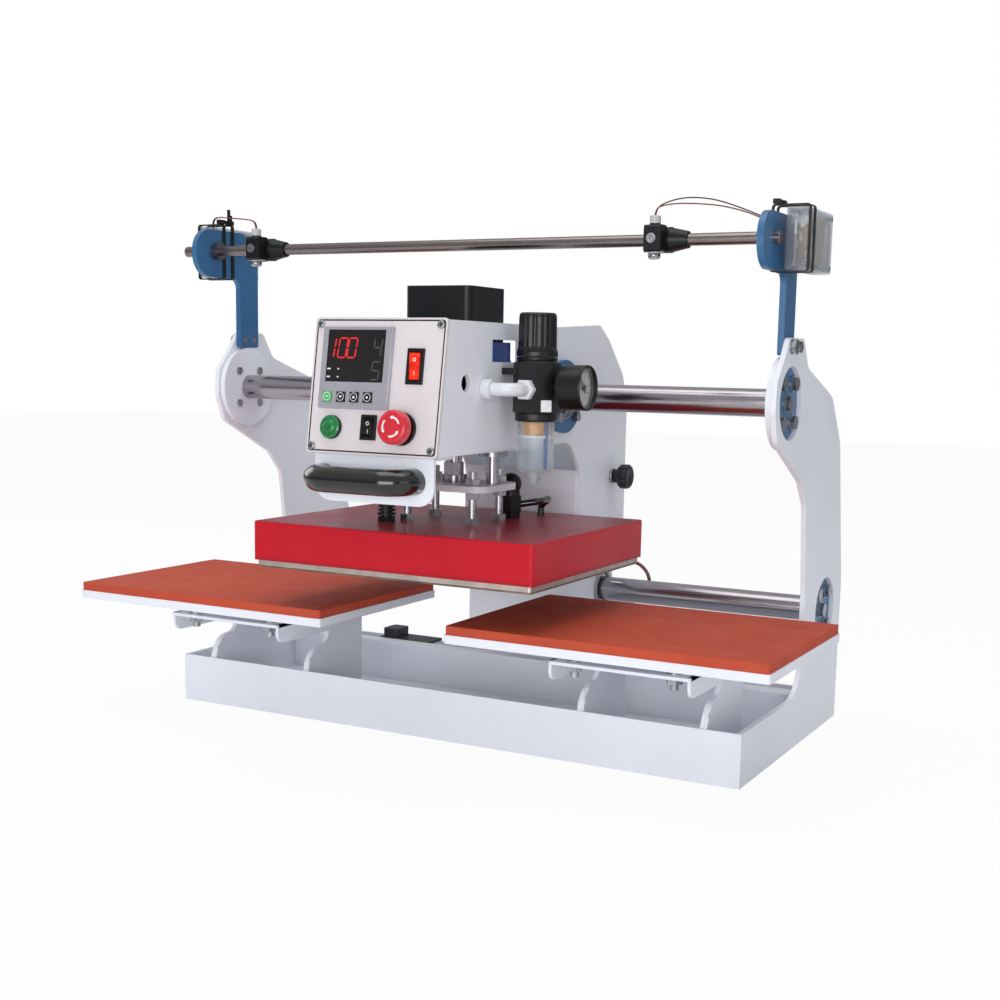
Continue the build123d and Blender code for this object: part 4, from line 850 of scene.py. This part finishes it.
for station in (-support["x"], support["x"]):
    for off in (-support["legX"], support["legX"]):
        legAt = facing(seenFromRight, (station + off, 0, 0))
        supports.append(prism(legOutline, -support["thick"] / 2, support["thick"] / 2, legAt))
    saddleAt = facing(seenFromTop, (station, support["saddleY"], 0))
    supports.append(prism(roundedBox(*support["saddle"], 4), support["high"], support["saddleTop"], saddleAt))
    for off in (-support["foldX"], support["foldX"]):
        foldAt = facing(seenFromRight, (station + off, support["saddleY"], support["saddleTop"]))
        supports.append(prism(fold, -1.5, 1.5, foldAt))
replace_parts(addPiece("platenSupportsWelded", *joined(supports), whiteCoat, "frame"), "platen_supports")

# each bead: how far its line lies outside the leg's middle, its start and stop as (y, z), and its radius
legBeads = ((2.7, (-97, 3.4), (0, 3.4), 1.8), (2.9, (-58, 103.2), (-34, 103.2), 2.2),
            (1.8, (-97.6, 46), (-93.5, 60.5), 2.0), (1.6, (-92.5, 62), (-84, 70), 1.9))
trayBeads = ((311.2, (-97.6, 4), (-97.6, 46), 1.6), (311.4, (-96, 3.4), (90, 3.4), 1.6),
             (311.3, (199.6, 4), (199.6, 28), 1.6))
seams = []
for station in (-support["x"], support["x"]):
    for off in (-support["legX"], support["legX"]):
        x = station + off
        for side in (-1, 1):
            for out, start, stop, radius in legBeads:
                seams.append(bead((x + side * out, *start), (x + side * out, *stop), radius))
        seams.append(bead((x, -97.7, 8), (x, -97.7, 50), 2.4))
for side in (-1, 1):
    for out, start, stop, radius in trayBeads:
        seams.append(bead((side * out, *start), (side * out, *stop), radius))
addPiece("weldBeads", *joined(seams), whiteCoat, "frame", True)
print("welds done")

# handle and small fittings

# the grip: a round section carried along a path of straight runs and two quarter turns
grip = {"left": -37.0, "right": 57.0, "back": -232.0, "front": -257.0, "turn": 19.0, "z": 267.3,
        "radius": 11.7, "sides": 40}
quarter = np.linspace(0, np.pi / 2, 12)
left, right, back, front, turn = (grip[key] for key in ("left", "right", "back", "front", "turn"))
straightEnd = (back + front + turn) / 2
near, far = turn * (1 - np.cos(quarter)), turn * (1 - np.sin(quarter))
path = np.concatenate([[(left, back), (left, straightEnd)], np.column_stack([left + near, front + far]),
                       np.column_stack([np.linspace(left + turn, right - turn, 14)[1:-1], np.full(12, front)]),
                       np.column_stack([right - far, front + near]), [(right, straightEnd), (right, back)]])
ahead = np.gradient(path, axis=0)
ahead = ahead / np.linalg.norm(ahead, axis=1)[:, None]
across = np.column_stack([ahead[:, 1], -ahead[:, 0]])[:, None, :]
angle = np.arange(grip["sides"]) * 2 * np.pi / grip["sides"]
flat = path[:, None, :] + grip["radius"] * np.cos(angle)[None, :, None] * across
upright = grip["z"] + grip["radius"] * np.sin(angle)[None] + 0 * path[:, None, 0]
gripPoints = np.concatenate([flat, upright[:, :, None]], -1).reshape(-1, 3) / 1000
gripFaces = gridFaces(len(path), grip["sides"])
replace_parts(addPiece("handleGrip", gripPoints, gripFaces, dippedVinyl, "carriage", True), "handle")
# the lock knob: a disc with a dished face and 14 flutes, on a collar and a steel stud
lock = {"at": (83.0, 128.0, 252.0), "flutes": 14, "fluteDepth": 0.035, "colour": "#171d24"}
lockAt = facing(seenFromRight, lock["at"])
disc = fluted([5.0, 11.6, 13.0, 13.3, 12.2, 10.6, 8.6, 0.3], [9.8, 10.2, 11.6, 19.0, 20.8, 21.4, 21.0, 20.4],
              [0, 0.5, 1, 1, 0.6, 0, 0, 0], lock["flutes"], lock["fluteDepth"], 112, lockAt)
knobPiece = joined([disc, turned([[6.6, 3.6], [7.4, 4.2], [7.4, 9.0], [6.4, 9.9]], lockAt, 40)])
knobPhenolic = material("phenolicKnobGreenBlack", {**mouldedBlack, "colour": lock["colour"]})
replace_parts(addPiece("lockKnobFluted", *knobPiece, knobPhenolic, "lock_screw", True), "lock_knob")
stud = joined([turned([[5.0, -14.0], [5.0, 3.6]], lockAt, 32), turned([[7.9, 0.4], [8.0, 3.3]], lockAt, 32)])
addPiece("lockStud", *stud, zincBolt, "lock_screw")
# cable ties: closed bands round box and post with small lock blocks; one tail is left long, on the left
tie = {"x": 322.1, "z": 483.0, "rows": (-42.0, -28.0), "wide": 34.8, "high": 58.4, "thick": 1.2,
       "blockIn": 13.0}
ties = []
for side in (-1, 1):
    for y in tie["rows"]:
        bandAt = facing(seenFromFront, (side * tie["x"], y, tie["z"]))
        outer = roundedBox(tie["wide"], tie["high"], 3)
        inner = roundedBox(tie["wide"] - 2 * tie["thick"], tie["high"] - 2 * tie["thick"], 2)
        ties.append(ringPrism(outer, inner, -2.2, 2.2, bandAt))
        inward = -side * tie["blockIn"]
        ties.append(prism(roundedBox(6.4, 4.6, 0.8) + (inward, 31.4), -3.6, 3.6, bandAt))
        if side < 0 and y == tie["rows"][-1]:
            for tailLong, shift, middle in ((14.0, -1, 38.7), (8.0, 1.4, 35.5)):
                tail = roundedBox(tie["thick"], tailLong, 0.4) + (inward + shift, middle)
                ties.append(prism(tail, -2.1, 2.1, bandAt))
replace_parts(addPiece("tieBands", *joined(ties), mouldedNylon, "frame"), "cable_ties")
print("fittings done")

# camera, floor and light

# solved from the photograph: degrees, metres, and shares of the picture's width
photo = {"yaw": 27.656, "pitch": 8.425, "roll": 1.131, "at": (0.695854, -1.251264, 0.370276),
         "focal": 1.393428, "shiftX": -0.019818, "shiftY": 0.069769, "sensorMm": 36.0}


def camera():
    # the photograph's place: the view is turned by yaw, looks down by pitch and is rolled a little
    yaw, pitch, roll = (math.radians(photo[key]) for key in ("yaw", "pitch", "roll"))
    back = Vector((math.sin(yaw) * math.cos(pitch), -math.cos(yaw) * math.cos(pitch), math.sin(pitch)))
    right = Vector((math.cos(yaw), math.sin(yaw), 0))
    up = right.cross(-back)
    side = right * math.cos(roll) + up * math.sin(roll)
    top = up * math.cos(roll) - right * math.sin(roll)
    data = bpy.data.cameras.new("photoCamera")
    data.sensor_width, data.sensor_fit = photo["sensorMm"], "HORIZONTAL"
    data.lens = photo["sensorMm"] * photo["focal"]
    data.shift_x, data.shift_y = photo["shiftX"], photo["shiftY"]
    data.clip_end = 50
    made = bpy.data.objects.new("photoCamera", data)
    turnedTo = Matrix((side, top, back)).transposed().to_4x4()
    made.matrix_world = Matrix.Translation(photo["at"]) @ turnedTo
    bpy.context.scene.collection.objects.link(made)
    bpy.context.scene.camera = made


studio = {"floorTone": "#f1f1f3", "floorWhite": 0.93, "floorHalf": 6.0, "frontPower": 50, "rightPower": 4,
          "topPower": 12, "leftPower": 9, "skyStrength": 0.58,
          "sky": [(0.0, "#a7a7ac"), (0.40, "#9b9ba2"), (0.475, "#6b6c74"), (0.52, "#8f9199"), (0.60, "#d8d9dd"),
                  (0.75, "#f4f4f6"), (1.0, "#ffffff")]}


def plainFloor():
    # pale matt floor, shown white to the camera, that keeps part of its shadow
    mesh = bpy.data.meshes.new("paleFloor")
    s = studio["floorHalf"]
    mesh.from_pydata([(-s, -s, 0), (s, -s, 0), (s, s, 0), (-s, s, 0)], [], [(0, 1, 2, 3)])
    made = bpy.data.objects.new("paleFloor", mesh)
    bpy.context.scene.collection.objects.link(made)
    mat = bpy.data.materials.new("floorPaleMatt")
    mat.use_nodes = True
    tree = mat.node_tree
    shader = tree.nodes["Principled BSDF"]
    shader.inputs["Base Color"].default_value = linear(studio["floorTone"])
    shader.inputs["Roughness"].default_value = 0.9
    ray = addNode(tree, "ShaderNodeLightPath").outputs["Is Camera Ray"]
    white = addNode(tree, "ShaderNodeEmission", {"Color": (1, 1, 1, 1), "Strength": 1.0})
    share = maths(tree, "MULTIPLY", ray, studio["floorWhite"])
    blend = addNode(tree, "ShaderNodeMixShader", {0: share, 1: shader.outputs[0], 2: white.outputs[0]})
    tree.links.new(blend.outputs[0], tree.nodes["Material Output"].inputs[0])
    mesh.materials.append(mat)


def skyLight():
    # white to the camera; to the metal a studio: bright above, a darker band at the horizon, grey below
    world = bpy.data.worlds.new("studioWorld")
    bpy.context.scene.world = world
    world.use_nodes = True
    tree = world.node_tree
    direction = addNode(tree, "ShaderNodeTexCoord").outputs["Generated"]
    height = addNode(tree, "ShaderNodeSeparateXYZ", {0: direction}).outputs[2]
    band = addNode(tree, "ShaderNodeValToRGB", {0: span(tree, height, -1.0, 1.0)})
    stops = studio["sky"]
    elements = band.color_ramp.elements
    elements[0].position, elements[0].color = stops[0][0], linear(stops[0][1])
    elements[1].position, elements[1].color = stops[-1][0], linear(stops[-1][1])
    for position, colour in stops[1:-1]:
        elements.new(position).color = linear(colour)
    ray = addNode(tree, "ShaderNodeLightPath").outputs["Is Camera Ray"]
    background = tree.nodes["Background"]
    tree.links.new(mixColour(tree, ray, band.outputs[0], (1, 1, 1, 1)), background.inputs["Color"])
    tree.links.new(span(tree, ray, 0.0, 1.0, studio["skyStrength"], 1.0), background.inputs["Strength"])


def softBox(name, at, towards, size, power):
    data = bpy.data.lights.new(name, "AREA")
    data.shape = "RECTANGLE"
    data.size, data.size_y = size
    data.energy = power
    made = bpy.data.objects.new(name, data)
    aim = (Vector(towards) - Vector(at)).to_track_quat("-Z", "Y")
    made.matrix_world = Matrix.Translation(at) @ aim.to_matrix().to_4x4()
    bpy.context.scene.collection.objects.link(made)


camera()
plainFloor()
skyLight()
softBox("softBoxFront", (0.7, -3.1, 0.45), (0, 0, 0.25), (2.6, 1.1), studio["frontPower"])
softBox("softBoxRight", (2.6, -0.9, 0.6), (0, 0, 0.25), (1.4, 1.0), studio["rightPower"])
softBox("softBoxTop", (0.1, -0.2, 1.9), (0, 0, 0.2), (1.8, 1.2), studio["topPower"])
softBox("softBoxLeft", (-2.0, 0.2, 1.0), (0, 0, 0.2), (1.2, 1.2), studio["leftPower"])
bpy.context.scene.view_settings.view_transform = "Standard"
print("camera and light done")
